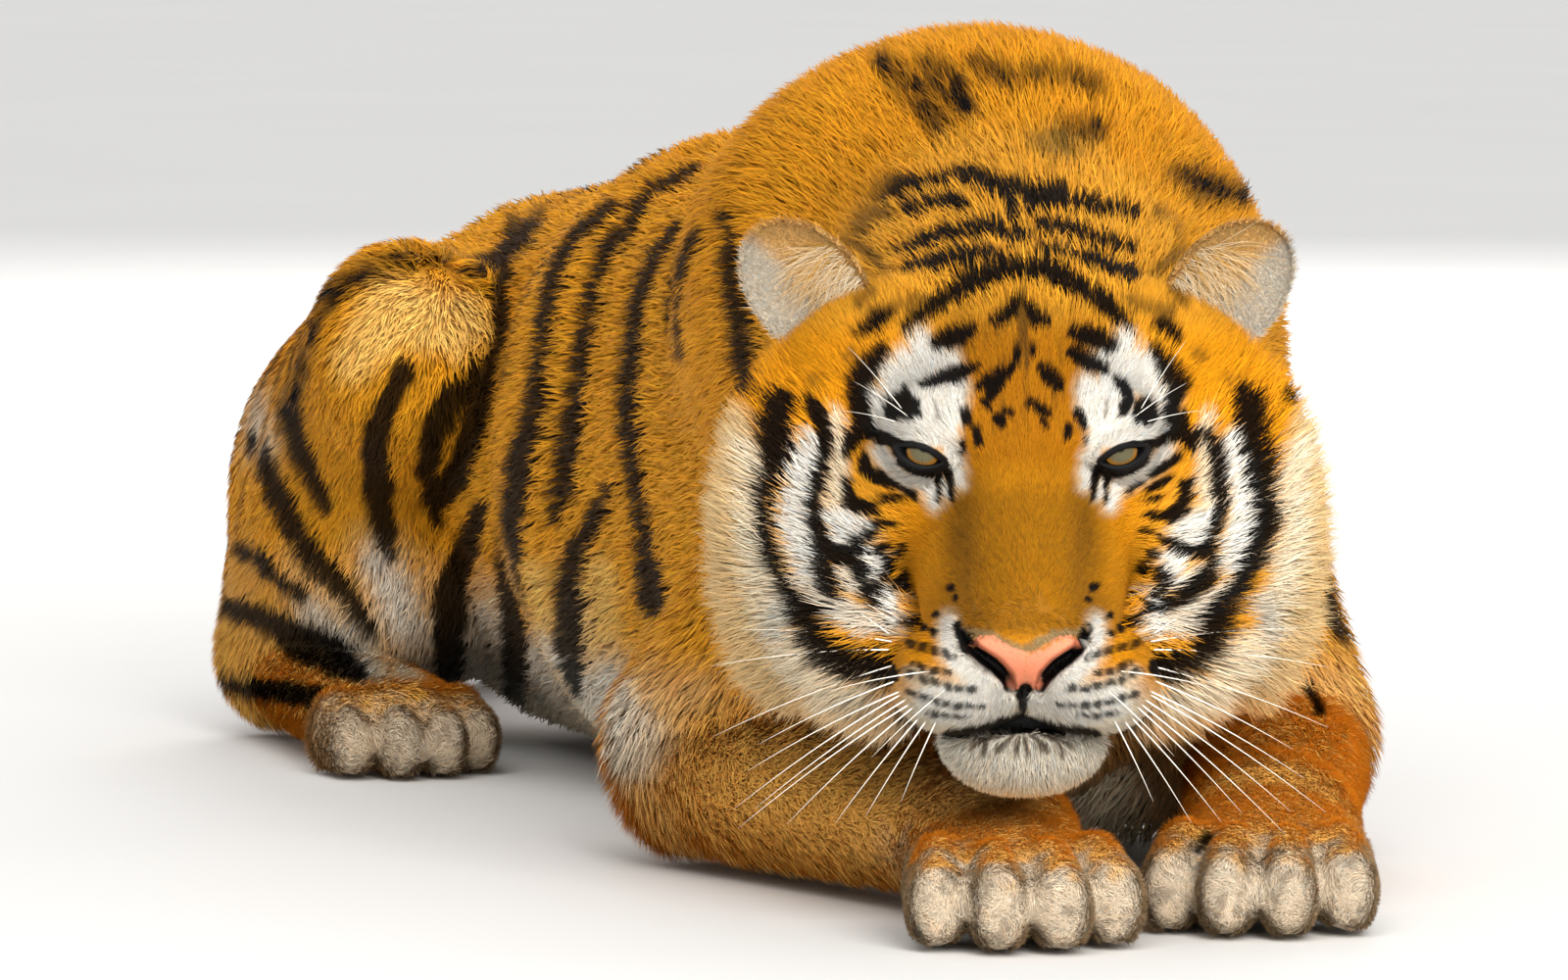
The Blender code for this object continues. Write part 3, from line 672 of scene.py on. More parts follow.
# The face's marks, each a stroke of (x, v, half width) in mm on the flat of the face, x outwards from its
# middle. Some are the same on both sides; the rest are the right side's or the left side's own.
faceMarks = {
    "blackRight": (
        ((0, 118, 5), (20, 114, 5.5), (35, 108, 6), (45, 101, 5.5), (55, 93, 5), (63, 87, 4),
         (71, 82, 2.5)),
        ((101, 78, 2.5), (92, 83, 5), (86, 87, 5), (80, 89, 3)),
        ((53, 72.5, 4), (45, 74.5, 6.5), (38, 76.5, 6.5), (32, 80, 4)),
        ((18, 85, 2.5), (12, 88, 5), (7, 92, 5), (4, 99, 2.5)), ((3, 70, 1.2), (3, 65, 1.8), (4, 62, 1.5)),
        ((61, 46.5, 2), (55, 49, 3.5), (47, 52, 4.5), (40, 53.5, 5), (33, 56, 3.5), (26, 58, 1)),
        ((27, 45, 2.5), (20, 49, 4), (14, 51, 5), (9, 55, 3), (5, 58, 1)),
        ((14, 48, 4), (18, 41, 3), (21, 36, 2.5)),
        ((85, 68, 3.5), (91, 62, 6), (97, 54, 8), (101, 48, 7.5), (101, 40, 5.5), (99, 30, 5),
         (99, 24, 5.5), (102, 15, 5), (106, 7, 4), (109, 1, 2)),
        ((98, 19, 4), (90, 15, 3.5), (84, 13, 3.5), (77, 10, 2.5)),
        ((80, 34, 6), (73, 35, 6.5), (67, 33, 4)), ((72, 45, 1.5), (72, 38, 4)),
        ((80, 28, 3), (70, 28, 2.5), (64, 29, 2)), ((35, 29, 3), (34, 23, 2)), ((28, 19, 2.2), (27, 11, 2)),
        ((15, 26, 2.2), (12, 22, 2)), ((37, 12, 1.6), (37, 5, 1.4)), ((10, 29, 1.8), (6, 29, 1.4)),
        ((24, 37, 1.5), (20, 31, 1.2)), ((97, 0, 3), (96, -6, 3.6)),
        ((94, -9, 2), (88, -12, 3), (82, -14, 2.4)), ((89, -7, 1.2), (83, -11, 1.8), (76, -16, 1.8)),
        ((72, -18, 1.4), (67, -21, 1.8), (65, -24, 1.2)),
        ((85, -24.5, 1.9), (79, -24, 1.6), (73, -23, 0.8)),
        ((107, -15, 3), (106, -21, 3.4), (105, -27, 4.2), (98, -31, 4.6), (90, -30, 3)),
        ((90, -40, 2.2), (84, -39.5, 1.5), (78, -39, 0.8)),
        ((97, -48, 2.6), (93, -45, 2.8), (89, -45, 1.2)),
        ((131, 36, 2.5), (127, 32, 4.5), (123, 24, 5), (121, 14, 4.6), (121.5, 2, 4), (125, -12, 4.6),
         (126.5, -25, 4.4), (126, -38, 4.2), (123, -50, 5), (121, -60, 6), (120, -70, 7), (118, -77, 6),
         (112, -84, 3)),
        ((118, -54, 4), (108, -59, 5), (100, -54, 4), (102, -50, 2.5)),
        ((104, -60, 4), (99, -66, 3.5), (96, -76, 3.5), (92, -84, 4.5), (91, -89, 3)),
        ((84, -61, 2.2), (83, -68, 2.8), (87, -78, 3.2), (91, -86, 4)), ((89, -55, 3), (84, -53, 1.5)),
        ((77, -57, 2.3), (74, -53, 1.5)), ((73, -71, 2.5), (78, -79, 2.3)),
        ((141, 38, 3), (148, 35, 8), (150, 25, 9), (150, 12, 10), (152, 2, 8.5), (156, -8, 6),
         (159, -20, 3.8), (158, -32, 4.2), (157, -45, 5), (154, -58, 6.5), (150, -68, 4.5), (143, -80, 5),
         (138, -90, 7), (130, -98, 8), (125, -108, 10), (122, -118, 9), (108, -124, 8), (92, -127, 8),
         (82, -132, 6)),
        ((170, 48, 5), (168, 42, 4)), ((172, 88, 4), (173, 75, 5), (168, 66, 4)),
        ((97, 163, 4), (88, 165, 7), (80, 167, 7.5), (70, 169.5, 4.5), (55, 171, 2.5), (42, 172.5, 2)),
        ((38, 175, 3), (26, 173, 4.5), (14, 168, 5.5), (4, 166, 5)),
        ((70, 154, 3.5), (60, 155.5, 4.5), (48, 157.5, 4), (36, 157.5, 3.5)),
        ((9, 160, 3), (6, 152, 3), (4, 147, 2)),
        ((76, 129, 1.8), (66, 131, 3), (58, 134, 4), (48, 138, 3.6), (38, 140.5, 4), (28, 143, 4),
         (16, 144, 4), (11, 140, 3), (9, 134, 3)),
        ((72, 117.5, 2), (62, 118, 3), (54, 119.5, 4), (45, 123, 4), (36, 125, 4), (27, 125.5, 3.5),
         (20, 127, 3), (13, 124, 2.2)),
    ),
    "blackLeft": (
        ((0, 118, 5), (15, 116, 5), (27, 111, 5), (36, 106, 6), (45, 100, 6), (53, 93, 5), (61, 86, 4),
         (67, 81, 2.5)),
        ((80, 83, 2), (86, 82.5, 4), (92, 79, 4.5), (95, 75, 3)),
        ((33, 79, 4), (40, 77, 6.5), (48, 74.5, 6), (54, 71, 4.5)),
        ((2, 98, 1.5), (6, 93, 3.5), (9, 88, 6), (15, 86, 3)),
        ((29, 66, 2.5), (35, 64, 4), (42, 60, 5), (50, 56.5, 3.5)),
        ((13, 56, 3.5), (16, 52, 5), (21, 47, 4), (24, 43, 1.5)), ((6, 71, 1.2), (5, 65, 1.2)),
        ((82, 68, 3.5), (87, 60, 5.5), (94, 52, 7.5), (97, 47, 6.5), (94, 38, 4), (94, 30, 4.5),
         (97, 20, 6), (101, 14, 5.5), (104, 7, 3.5)),
        ((96, 15, 4), (88, 12.5, 3), (81, 11, 2), (75, 10, 1.2)),
        ((102, 18, 3), (110, 17, 3), (116, 14, 4), (119, 8, 5), (120, 0, 5), (120, -10, 5), (121, -20, 4.5),
         (122, -28, 4), (120, -36, 3.5), (118, -44, 4), (115, -53, 4), (108, -58, 3.5), (100, -57, 3.5),
         (92, -53, 3.5), (86, -50, 2)),
        ((72, 34, 3), (78, 34, 4.5), (82, 30, 3)), ((70, 28, 3), (78, 26, 3.5), (82, 27, 2)),
        ((66, 38, 2), (63, 33, 3), (61, 29, 1.5)), ((57, 51, 1.8), (61, 47, 3), (65, 42, 2.5)),
        ((35, 28, 3), (38, 21, 2)), ((8, 35, 1.5), (12, 31, 3), (17, 28, 1.5)), ((4, 37, 1.2), (4, 33, 1)),
        ((39, 14, 1.4), (39, 10, 1)), ((28, 20, 1.6), (27, 14, 1.4)), ((12, 24, 1.4), (14, 20, 1.2)),
        ((95, 1, 1.8), (89, -4, 2), (83, -8, 2), (78, -11, 1)), ((73, -15, 1), (65, -20, 1)),
        ((90, -13, 1.4), (84, -16, 1.8), (77, -19, 1.2)), ((84, -24, 1.2), (77, -25, 1.6)),
        ((83, -46, 1.5), (80, -45, 1)), ((74, -43, 1), (78, -44, 1)),
        ((103, -14, 2.5), (100, -18, 4.2), (99, -25, 4), (97, -31, 4.5), (91, -34, 3.5), (82, -34, 2.2),
         (75, -33, 1)),
        ((80, -57, 2.5),),
        ((115, -60, 4), (114, -68, 5), (110, -76, 6), (102, -82, 5), (92, -88, 3.5), (84, -92, 2)),
        ((83, -68, 3), (87, -75, 4.5), (84, -83, 3.5)), ((76, -64, 2), (73, -68, 1.5)),
        ((78, -92, 2), (76, -86, 1.5)),
        ((133, 42, 4), (138, 36, 8), (140, 25, 9), (144, 10, 9.5), (147, -5, 8.5), (148, -20, 8),
         (149, -35, 7), (147, -48, 6.5), (144, -58, 7), (138, -67, 5.5), (131, -78, 5.5), (126, -88, 7),
         (118, -97, 9), (115, -106, 10), (112, -116, 9), (102, -124, 8), (92, -128, 8), (84, -128, 6)),
        ((160, 38, 3), (164, 34, 2.5)), ((163, 62, 3), (166, 54, 4)), ((168, 88, 4), (170, 76, 4)),
        ((0, 166, 5), (8, 163, 5), (16, 165, 6), (24, 166, 3)),
        ((6, 156, 4), (15, 158, 4.5), (28, 158, 4), (40, 156.5, 4), (50, 154.5, 4.5), (60, 154, 4),
         (68, 152, 2.5)),
        ((12, 143, 3.5), (20, 142, 4), (30, 141, 3.5), (40, 138.5, 3.3), (50, 135.5, 3.3), (60, 131, 3.3),
         (68, 129, 2)),
        ((12, 129, 2.5), (20, 128, 2.5), (28, 126, 3), (38, 123.5, 3.4), (48, 119.5, 4), (58, 115.5, 4.2),
         (68, 114, 4.5)),
    ),
    "black": (
        ((0, 137, 3), (3, 137, 3)), ((40, -102, 1.4), (38.5, -109, 2.2), (34, -117, 2)),
        ((9, -139.5, 1.6), (0, -141, 3.2)), ((0, -141, 4), (0, -147, 2.6), (0, -153, 1.4)),
        ((0, -161, 5), (12, -163.5, 3.6), (24, -166.5, 2.2), (46, -169, 1.6)), ((44, -79, 1.9),),
        ((41, -86, 1.3),), ((70, -99, 3),), ((60, -103, 2),), ((54, -106, 1.7),), ((53, -95.5, 1.6),),
    ),
    "white": (
        ((63, 73, 4.5), (61, 66, 7), (62, 60, 8), (70, 52, 8), (78, 46, 6.5), (84, 42, 4)),
        ((44, 61, 3), (52, 62, 5)), ((41, 46, 5), (42, 36, 5.5), (46, 27, 7)),
        ((61, 42, 7), (60, 34, 7), (58, 26, 8), (58, 18, 7)), ((91, 40, 3.5), (89, 30, 4.5), (87, 22, 5.5)),
        ((84, 25, 5), (75, 24, 5), (66, 25, 5), (56, 26, 5)), ((53, 52, 4), (52, 44, 5), (51, 34, 5)),
        ((70, 60, 7), (80, 52, 6)), ((88, 23, 6), (78, 18, 5), (66, 15, 5), (55, 15, 6), (50, 14, 5)),
        ((48, 20, 5), (45, 8, 3.5), (41.5, -2, 3.2), (39.5, -10, 2.6), (39, -15, 1.6)),
        ((87, 5, 3), (82, -3, 3), (76, -8, 2.6), (69, -13, 2.4), (58, -15.5, 2.8), (56, -21, 2.6),
         (54.5, -28, 1.5)),
        ((48.5, -15, 1.2), (47.8, -21, 1.3)),
        ((130, 12, 4), (133, 0, 6.5), (137, -12, 8), (138, -25, 8), (138, -40, 8), (134, -52, 8),
         (130, -63, 7.5)),
        ((116, -36, 4), (108, -40, 7), (106, -47, 8), (98, -44, 6)),
        ((97, -55, 2), (91, -61, 5), (92, -69, 4.5), (95, -76, 2.5)),
        ((82, -82, 2.5), (82, -92, 3.5), (82, -102, 4)),
        ((45, -99, 2.4), (46, -108, 3.4), (43, -118, 5), (35, -127, 6.5), (24, -136, 7)),
        ((14, -147, 6), (28, -146, 7), (44, -147, 6), (58, -145, 5)),
        ((9, -149, 5), (14, -156, 6), (30, -158, 7), (46, -156, 6), (60, -152, 5)),
        ((12, -141, 5), (19, -147, 5), (28, -138, 6)),
    ),
    "cream": (
        ((114, 28, 4), (112, 10, 5), (113, -8, 6), (114, -25, 6)),
        ((168, 5, 8), (166, -15, 8), (166, -45, 9), (160, -75, 10), (152, -100, 12)),
        ((140, -118, 14), (120, -142, 12), (95, -148, 10)), ((56, -135, 3), (68, -131, 4)),
    ),
    "sand": (
        ((176, 20, 12), (186, -15, 16), (184, -45, 18), (178, -75, 18), (170, -100, 18)),
        ((165, -125, 18), (150, -140, 14)),
    ),
    "fringe": (
        ((36, -106, 2.6), (28, -107.5, 3.2), (20, -108.5, 3.4), (13, -112, 3.4), (7, -115, 3.2),
         (0, -117, 3)),
    ),
    "pale": (
        ((0, -187, 20), (36, -186, 20)), ((0, -199, 8), (40, -199, 8)), ((0, -174, 6), (46, -177, 8)),
        ((132, -74, 7), (122, -85, 7), (108, -92, 8), (95, -100, 8)), ((107, -69, 5), (103, -78, 5)),
        ((148, -88, 8), (150, -105, 8)),
    ),
    "brown": (
        ((0, 104, 1.6), (0, 90, 2.4), (1, 74, 2.6), (2, 56, 1.6)), ((60, 100, 2), (70, 92, 2)),
        ((92, 104, 4), (100, 96, 4)), ((122, 51, 2), (128, 46, 2.5), (133, 45, 1.5)),
        ((104, 67, 2.5), (110, 61, 2.5)), ((53, 36, 1), (52, 26, 1.4)),
        ((112, 137, 2), (104, 133, 3.5), (96, 129, 4), (88, 122, 3.5), (83, 117, 2.5)),
        ((102, 153, 5), (92, 150, 6), (82, 151, 4)), ((108, 146, 7), (98, 141, 6)),
        ((41, -104, 1.5), (37, -115, 2.5), (29, -124, 3), (19, -131, 2.5)), ((73, -100, 3),),
        ((90, 90, 5), (76, 93, 4), (66, 98, 3)),
    ),
    "rim": (
        ((47, 0.5, 1.4), (53, 5.5, 1.2), (60, 9, 1.2), (68, 11, 1.4), (76, 10, 2.0), (79, 8, 2)),
        ((78, 6, 2.5), (74, -1, 3.6), (67, -5.5, 3.8), (60, -7.5, 4.0), (53, -7, 4.2), (48, -3, 3.4)),
        ((50, 1, 2.6), (46, -6, 3.2), (44, -14, 2.8), (43.5, -24, 2.0)),
        ((52, -6, 4), (51.5, -16, 2.0), (51.5, -26, 1.8)),
    ),
    "whiskerRows": (
        ((41, -122, 1.8), (48, -119, 2.2), (57, -116, 2.4), (64, -114.5, 2.4), (71, -112, 2.4)),
        ((45, -131, 1.6), (55, -130, 2.2), (66, -125, 2)),
        ((29, -141.5, 1.8), (39, -141, 2.0), (50, -138.5, 2.0), (58, -136, 2.2), (65, -132.5, 2.2),
         (72, -129, 2.0)),
        ((22, -151.5, 0.9), (32, -152, 1.4), (42, -152, 1.8), (50, -150, 1.8), (58, -147.5, 1.8),
         (69, -143.5, 1.8)),
        ((34, -158, 1.0), (45, -158, 1.2), (58, -156, 1.4)),
    ),
    # The black lip's corners, with painted shadow in the mouth's fold beyond them
    "mouthCornerShadow": (
        ((44, -166.5, 2.0), (54, -163, 5), (64, -160, 6), (74, -154, 5)),
    ),
    "chinFlecks": (
        ((6, -171, 1.2), (14, -179, 2.0)), ((16, -170, 1.4), (30, -176, 1.6)),
        ((2, -172, 1.0), (3, -182, 1.2)), ((22, -172, 1.2), (24, -181, 1.2)),
    ),
}

# The body's marks as they show from in front of its right shoulder: (across, up, half width) in mm, at the
# distance of the plane, which is measured along the line of sight
quarter = {"turn": 21.0, "away": 6.5, "aside": -0.130, "height": 0.75, "plane": 6950.0}
bodyMarks = {
    "black": (
        ((-42, 402, 2), (-35, 388, 4), (-36, 365, 5.5), (-31, 335, 6), (-28, 305, 6), (-24, 280, 4)),
        ((-75, 395, 3), (-90, 375, 4.5), (-100, 350, 5.5), (-106, 310, 5.5), (-111, 280, 6), (-110, 255, 5),
         (-104, 210, 4), (-99, 180, 5), (-95, 152, 8), (-93, 130, 9)),
        ((-60, 392, 2), (-74, 362, 4), (-78, 330, 4), (-72, 305, 2)),
        ((-62, 436, 3), (-95, 420, 4), (-110, 395, 4), (-126, 375, 5), (-135, 350, 5), (-141, 320, 5),
         (-145, 290, 6), (-149, 262, 5.5), (-153, 235, 7), (-158, 205, 7), (-162, 185, 4)),
        ((-125, 208, 3), (-135, 185, 5), (-147, 165, 6), (-152, 140, 8), (-152, 110, 9), (-150, 85, 8),
         (-148, 66, 6)),
        ((-120, 410, 3), (-145, 390, 4.5), (-160, 365, 5), (-168, 335, 5), (-171, 310, 5), (-173, 285, 5),
         (-177, 262, 6), (-185, 235, 8), (-190, 205, 8), (-193, 180, 8), (-194, 150, 8), (-191, 120, 8),
         (-190, 90, 8), (-190, 60, 7)),
        ((-170, 408, 4), (-183, 388, 6), (-200, 372, 6), (-214, 366, 5)),
        ((-190, 400, 3), (-200, 350, 5), (-198, 318, 6), (-205, 290, 8), (-216, 265, 9), (-224, 240, 8),
         (-232, 216, 9), (-243, 203, 7)),
        ((-218, 288, 8), (-236, 270, 10), (-249, 246, 8), (-253, 225, 7), (-248, 205, 8), (-246, 188, 4)),
        ((-214, 196, 4), (-224, 168, 8), (-234, 145, 10), (-238, 120, 11), (-237, 95, 10), (-237, 65, 8)),
        ((-270, 292, 7), (-280, 270, 7), (-290, 245, 8), (-289, 225, 8), (-288, 205, 10), (-285, 180, 8),
         (-280, 162, 4)),
        ((-375, 245, 4), (-365, 220, 6), (-355, 195, 8), (-345, 175, 9), (-330, 155, 9), (-315, 140, 8),
         (-305, 125, 6), (-293, 105, 4)),
        ((-396, 172, 4), (-375, 160, 5), (-360, 146, 5), (-343, 134, 4)),
        ((-398, 126, 6), (-370, 115, 8), (-345, 102, 13), (-320, 90, 12), (-303, 78, 7)),
        ((-402, 70, 5), (-370, 65, 6), (-330, 60, 7)),
        ((-350, 262, 6), (-345, 240, 7), (-335, 215, 6), (-325, 195, 4)),
        ((392, 150, 4), (386, 128, 5), (396, 104, 4)), ((300, -40, 2.5), (292, -48, 2)),
        ((372, 70, 2), (380, 52, 2.5)),
    ),
    "soft": (
        ((-236, 373, 5), (-270, 372, 6), (-300, 360, 8), (-325, 345, 10), (-340, 320, 11), (-346, 295, 10),
         (-350, 265, 8)),
        ((70, 512, 6), (84, 498, 10), (98, 482, 11), (112, 468, 10)),
        ((104, 506, 9), (118, 494, 14), (128, 478, 10)),
        ((141, 506, 9), (160, 500, 9), (184, 502, 7), (222, 494, 6)),
        ((184, 452, 9), (202, 456, 14), (220, 462, 10)), ((276, 430, 7), (294, 423, 13), (322, 416, 9)),
    ),
    "cream": (
        ((-265, 60, 18), (-262, 95, 14), (-275, 130, 14), (-290, 160, 10)),
        ((-335, 122, 8), (-305, 95, 12), (-285, 70, 14)), ((-210, 60, 30), (-212, 110, 16)),
        ((-160, 55, 40), (-172, 90, 14)), ((-124, 70, 14), (-112, 30, 30)),
        ((-376, 290, 5), (-370, 240, 6)),
    ),
    "bright": (
        ((-230, 325, 22), (-275, 335, 24), (-305, 300, 14)), ((-130, 150, 10), (-128, 110, 12)),
        ((-175, 150, 8), (-170, 110, 8)),
    ),
}


def strokesMask(flat, strokes, soft, wider=0.0):
    # 1 on any of the strokes, made wider and fading over a soft edge, in mm
    mask = np.zeros(len(flat))
    for stroke in strokes:
        marks = np.array(stroke, float)
        reach = marks[:, 2].max() + soft + wider
        low, high = marks[:, :2].min(0) - reach, marks[:, :2].max(0) + reach
        near = np.flatnonzero(((flat > low) & (flat < high)).all(1))
        inked = smooth(wider - alongStroke(flat[near], stroke), -soft * 0.5, soft * 0.5)
        mask[near] = np.maximum(mask[near], inked)
    return mask


def mix(colour, ink, amount):
    # Each colour moved towards an ink by its own amount, from 0 to 1
    return colour + (inks[ink] - colour) * np.clip(amount, 0.0, 1.0)[:, None]


def sightLine():
    # Where the quarter view is taken from, and its right and forward directions
    turn = math.radians(quarter["turn"])
    right = np.array((math.cos(turn), -math.sin(turn), 0.0))
    ahead = np.array((math.sin(turn), math.cos(turn), 0.0))
    place = right * quarter["aside"] - ahead * quarter["away"] + (0.0, 0.0, quarter["height"])
    return place, right, ahead


def layInks(colour, layers):
    # One ink over another, in order; layers are pairs of an ink and its amounts
    for ink, amount in layers:
        colour = mix(colour, ink, amount)
    return colour


def flatView(p, plane):
    # Places in the quarter view, in mm, as they would be at the plane's distance
    place, right, ahead = sightLine()
    off = p - place
    return np.stack((off @ right, off[:, 2]), 1) / (off @ ahead)[:, None] * plane


def fromQuarter(p, up):
    # Places on the body's plane of the quarter view, and how squarely each faces it
    off = p - sightLine()[0]
    flat = flatView(p, quarter["plane"]) + (0.0, quarter["height"] * 1000.0)
    return flat, -(up * off).sum(1) / np.linalg.norm(off, axis=1)


# Stripes where the marks above say nothing: how far apart and half how wide, across a limb from a to b
stripes = {
    "edge": 0.003,  # over which a stripe fades
    "trunk": {"gap": 0.076, "half": 0.0120},
    "thigh": {"a": (0.0, 0.90, 0.20), "b": (0.0, 0.60, 0.30), "gap": 0.066, "half": 0.0125, "seed": 21},
    "shin": {"a": (0.0, 0.66, 0.30), "b": (0.0, 0.92, 0.05), "gap": 0.068, "half": 0.0110, "seed": 31},
    "seat": {"a": (0.0, 0.97, 0.03), "b": (0.0, 0.97, 0.35), "gap": 0.060, "half": 0.0080, "seed": 51},
    "tail": {"gap": 0.082, "half": 0.0160, "tip": 0.06},
}


def flankStripes(p):
    # Stripes across the trunk: bands of even spacing along Y, bent by noise, that fork and thin downwards
    gap, half = stripes["trunk"]["gap"], stripes["trunk"]["half"]
    lean = 0.16 * (p[:, 2] - 0.25) + 0.016 * ripple(p, 0.30, 11) + 0.005 * ripple(p, 0.09, 12)
    place = (p[:, 1] - lean) / gap
    band = np.floor(place)
    off = np.abs(place - band - 0.5) * gap
    odd = np.mod(band, 2.0) == 0.0
    fork = np.where(odd, np.clip(0.27 - p[:, 2] + 0.05 * np.sin(band * 2.1), 0.0, 0.05) * 0.30, 0.0)
    half = half + 0.0035 * np.sin(band * 1.7 + p[:, 2] * 14.0) - fork * 0.2
    half = half * smooth(p[:, 2] + 0.03 * np.sin(band * 2.9), 0.04, 0.12)
    return smooth(half - np.abs(off - fork), -stripes["edge"], stripes["edge"])


def limbStripes(p, a, b, gap, half, seed):
    # Rings across a limb, spaced along the line from a to b
    a, b = np.array(a), np.array(b)
    axis = (b - a) / np.linalg.norm(b - a)
    place = ((p - a) @ axis + 0.014 * ripple(p, 0.16, seed) + 0.006 * ripple(p, 0.07, seed + 1)) / gap
    off = np.abs(place - np.floor(place) - 0.5) * gap
    width = half * (1.0 + 0.35 * np.sin(np.floor(place) * 2.3 + 9.0 * p[:, 2]))
    return smooth(width - off, -stripes["edge"], stripes["edge"])


def alongTail(p):
    # How far along the tail's path the nearest point lies
    path = np.array(tail["path"])
    best, found, run = np.full(len(p), np.inf), np.zeros(len(p)), 0.0
    for a, b in zip(path[:-1], path[1:]):
        ab = b - a
        t = np.clip((p - a) @ ab / (ab @ ab), 0.0, 1.0)
        far = np.linalg.norm(p - a - t[:, None] * ab, axis=1)
        closer = far < best
        best[closer] = far[closer]
        found[closer] = (run + t * np.linalg.norm(ab))[closer]
        run += np.linalg.norm(ab)
    return found, run


def tailRings(p):
    # Rings of even spacing along the tail, a little uneven, and the black tip
    run, total = alongTail(p)
    gap, tip = stripes["tail"]["gap"], stripes["tail"]["tip"]
    place = (run + 0.010 * ripple(p, 0.05, 41)) / gap
    ring = smooth(stripes["tail"]["half"] - np.abs(place - np.floor(place) - 0.5) * gap, -0.004, 0.004)
    return np.maximum(ring, smooth(run, total - tip - 0.01, total - tip + 0.01))


def paint(p, share, up):
    # The coat's colour at each point: pigments by region, then stripes, then the face's marks
    part = {region: share[:, i] for i, region in enumerate(regions)}
    x, y, z = p.T
    drift = ripple(p, 0.12, 3)
    feet = part["forepaw"] + part["hindpaw"]
    body = part["trunk"] + part["haunch"] + part["hump"] + part["neck"] + part["shank"]
    under = smooth(z + 0.03 * drift, 0.17, 0.03) * (part["trunk"] + part["haunch"] * 0.7 + part["hump"] * 0.5)
    inner = smooth(np.abs(x), 0.13, 0.06) * smooth(z, 0.20, 0.10) * part["shank"]
    toeGrey = smooth(z + 0.008 * ripple(p, 0.03, 5), 0.064, 0.046) * feet
    flecks = smooth(ripple(p * (1.0, 1.0, 0.4), 0.012, 6), 0.45, 0.85) * feet * smooth(z, 0.066, 0.05)
    colour = layInks(np.repeat(inks["orange"][None], len(p), 0), (
        ("flank", body * 0.35),
        ("back", body * smooth(z, 0.34, 0.50) * 0.3 + 0.10 * (drift + 1.0)),
        ("flank", body * smooth(z, 0.34, 0.12) * (0.35 + 0.2 * drift)),
        ("cream", under),
        ("cream", inner * 0.7),
        # paler pigment on the paws and forelegs: partly their own paler coat, partly painted light lifting them
        # out of the head's shadow
        ("paw", feet * 0.85 + part["foreleg"] * 0.75 + part["shank"] * smooth(z, 0.16, 0.06) * 0.5),
        ("toe", toeGrey * 0.85),
        ("brown", flecks * 0.4),
    ))
    dark = flankStripes(p) * (part["trunk"] + part["hump"]) * smooth(y, 0.10, 0.22)
    behind = smooth(y, 0.93, 0.99)
    seat = limbStripes(p, **stripes["seat"]) * smooth(np.abs(x), 0.02, 0.07)
    thigh = limbStripes(p, **stripes["thigh"]) * (1.0 - behind) + seat * behind
    shin = limbStripes(p, **stripes["shin"]) * smooth(z, 0.03, 0.10)
    dark = np.maximum(dark, np.maximum(thigh * part["haunch"], shin * part["shank"]))
    flat, facing = fromQuarter(p, up)
    flat = flat + np.stack((ripple(p, 0.035, 7), ripple(p, 0.035, 8)), 1) * 2.0
    seen = smooth(facing, 0.02, 0.16) * smooth(-part["hindpaw"] - part["tail"], -0.5, -0.2)
    flank = seen * smooth(-x, -0.02, 0.03) * smooth(y, 0.05, 0.15)
    own = seen * smooth(-x, -0.02, 0.03) * (1.0 - part["foreleg"] * smooth(y, 0.02, -0.06))
    haze = 0.85 + 0.35 * ripple(p, 0.025, 9)
    offHead = seen * (1.0 - part["crown"])
    dark = np.maximum(dark * (1.0 - flank), tailRings(p) * part["tail"])
    dark = np.maximum(dark, strokesMask(flat, bodyMarks["black"], 6.0, 1.8) * offHead)
    colour = layInks(colour, (
        ("knee", strokesMask(flat, bodyMarks["bright"], 22.0) * flank * 0.95),
        ("sand", strokesMask(flat, bodyMarks["cream"], 60.0) * own * 0.9),
        ("white", strokesMask(flat, bodyMarks["cream"], 20.0) * own * 0.75),
        ("cream", part["tail"] * smooth(z, 0.06, 0.03) * 0.6),
        ("black", strokesMask(flat, bodyMarks["soft"], 14.0) * offHead * haze),
        ("black", dark * 0.96),
    ))
    return paintHead(colour, p, part["foreleg"] + part["forepaw"])


def markMask(flat, right, name, soft, wider=0.0):
    # A set of the face's marks: those of both sides with those of each side
    mask = strokesMask(flat, faceMarks[name], soft, wider)
    for side, own in (("Right", right), ("Left", ~right)):
        mask[own] = np.maximum(mask[own], strokesMask(flat[own], faceMarks.get(name + side, ()), soft, wider))
    return mask


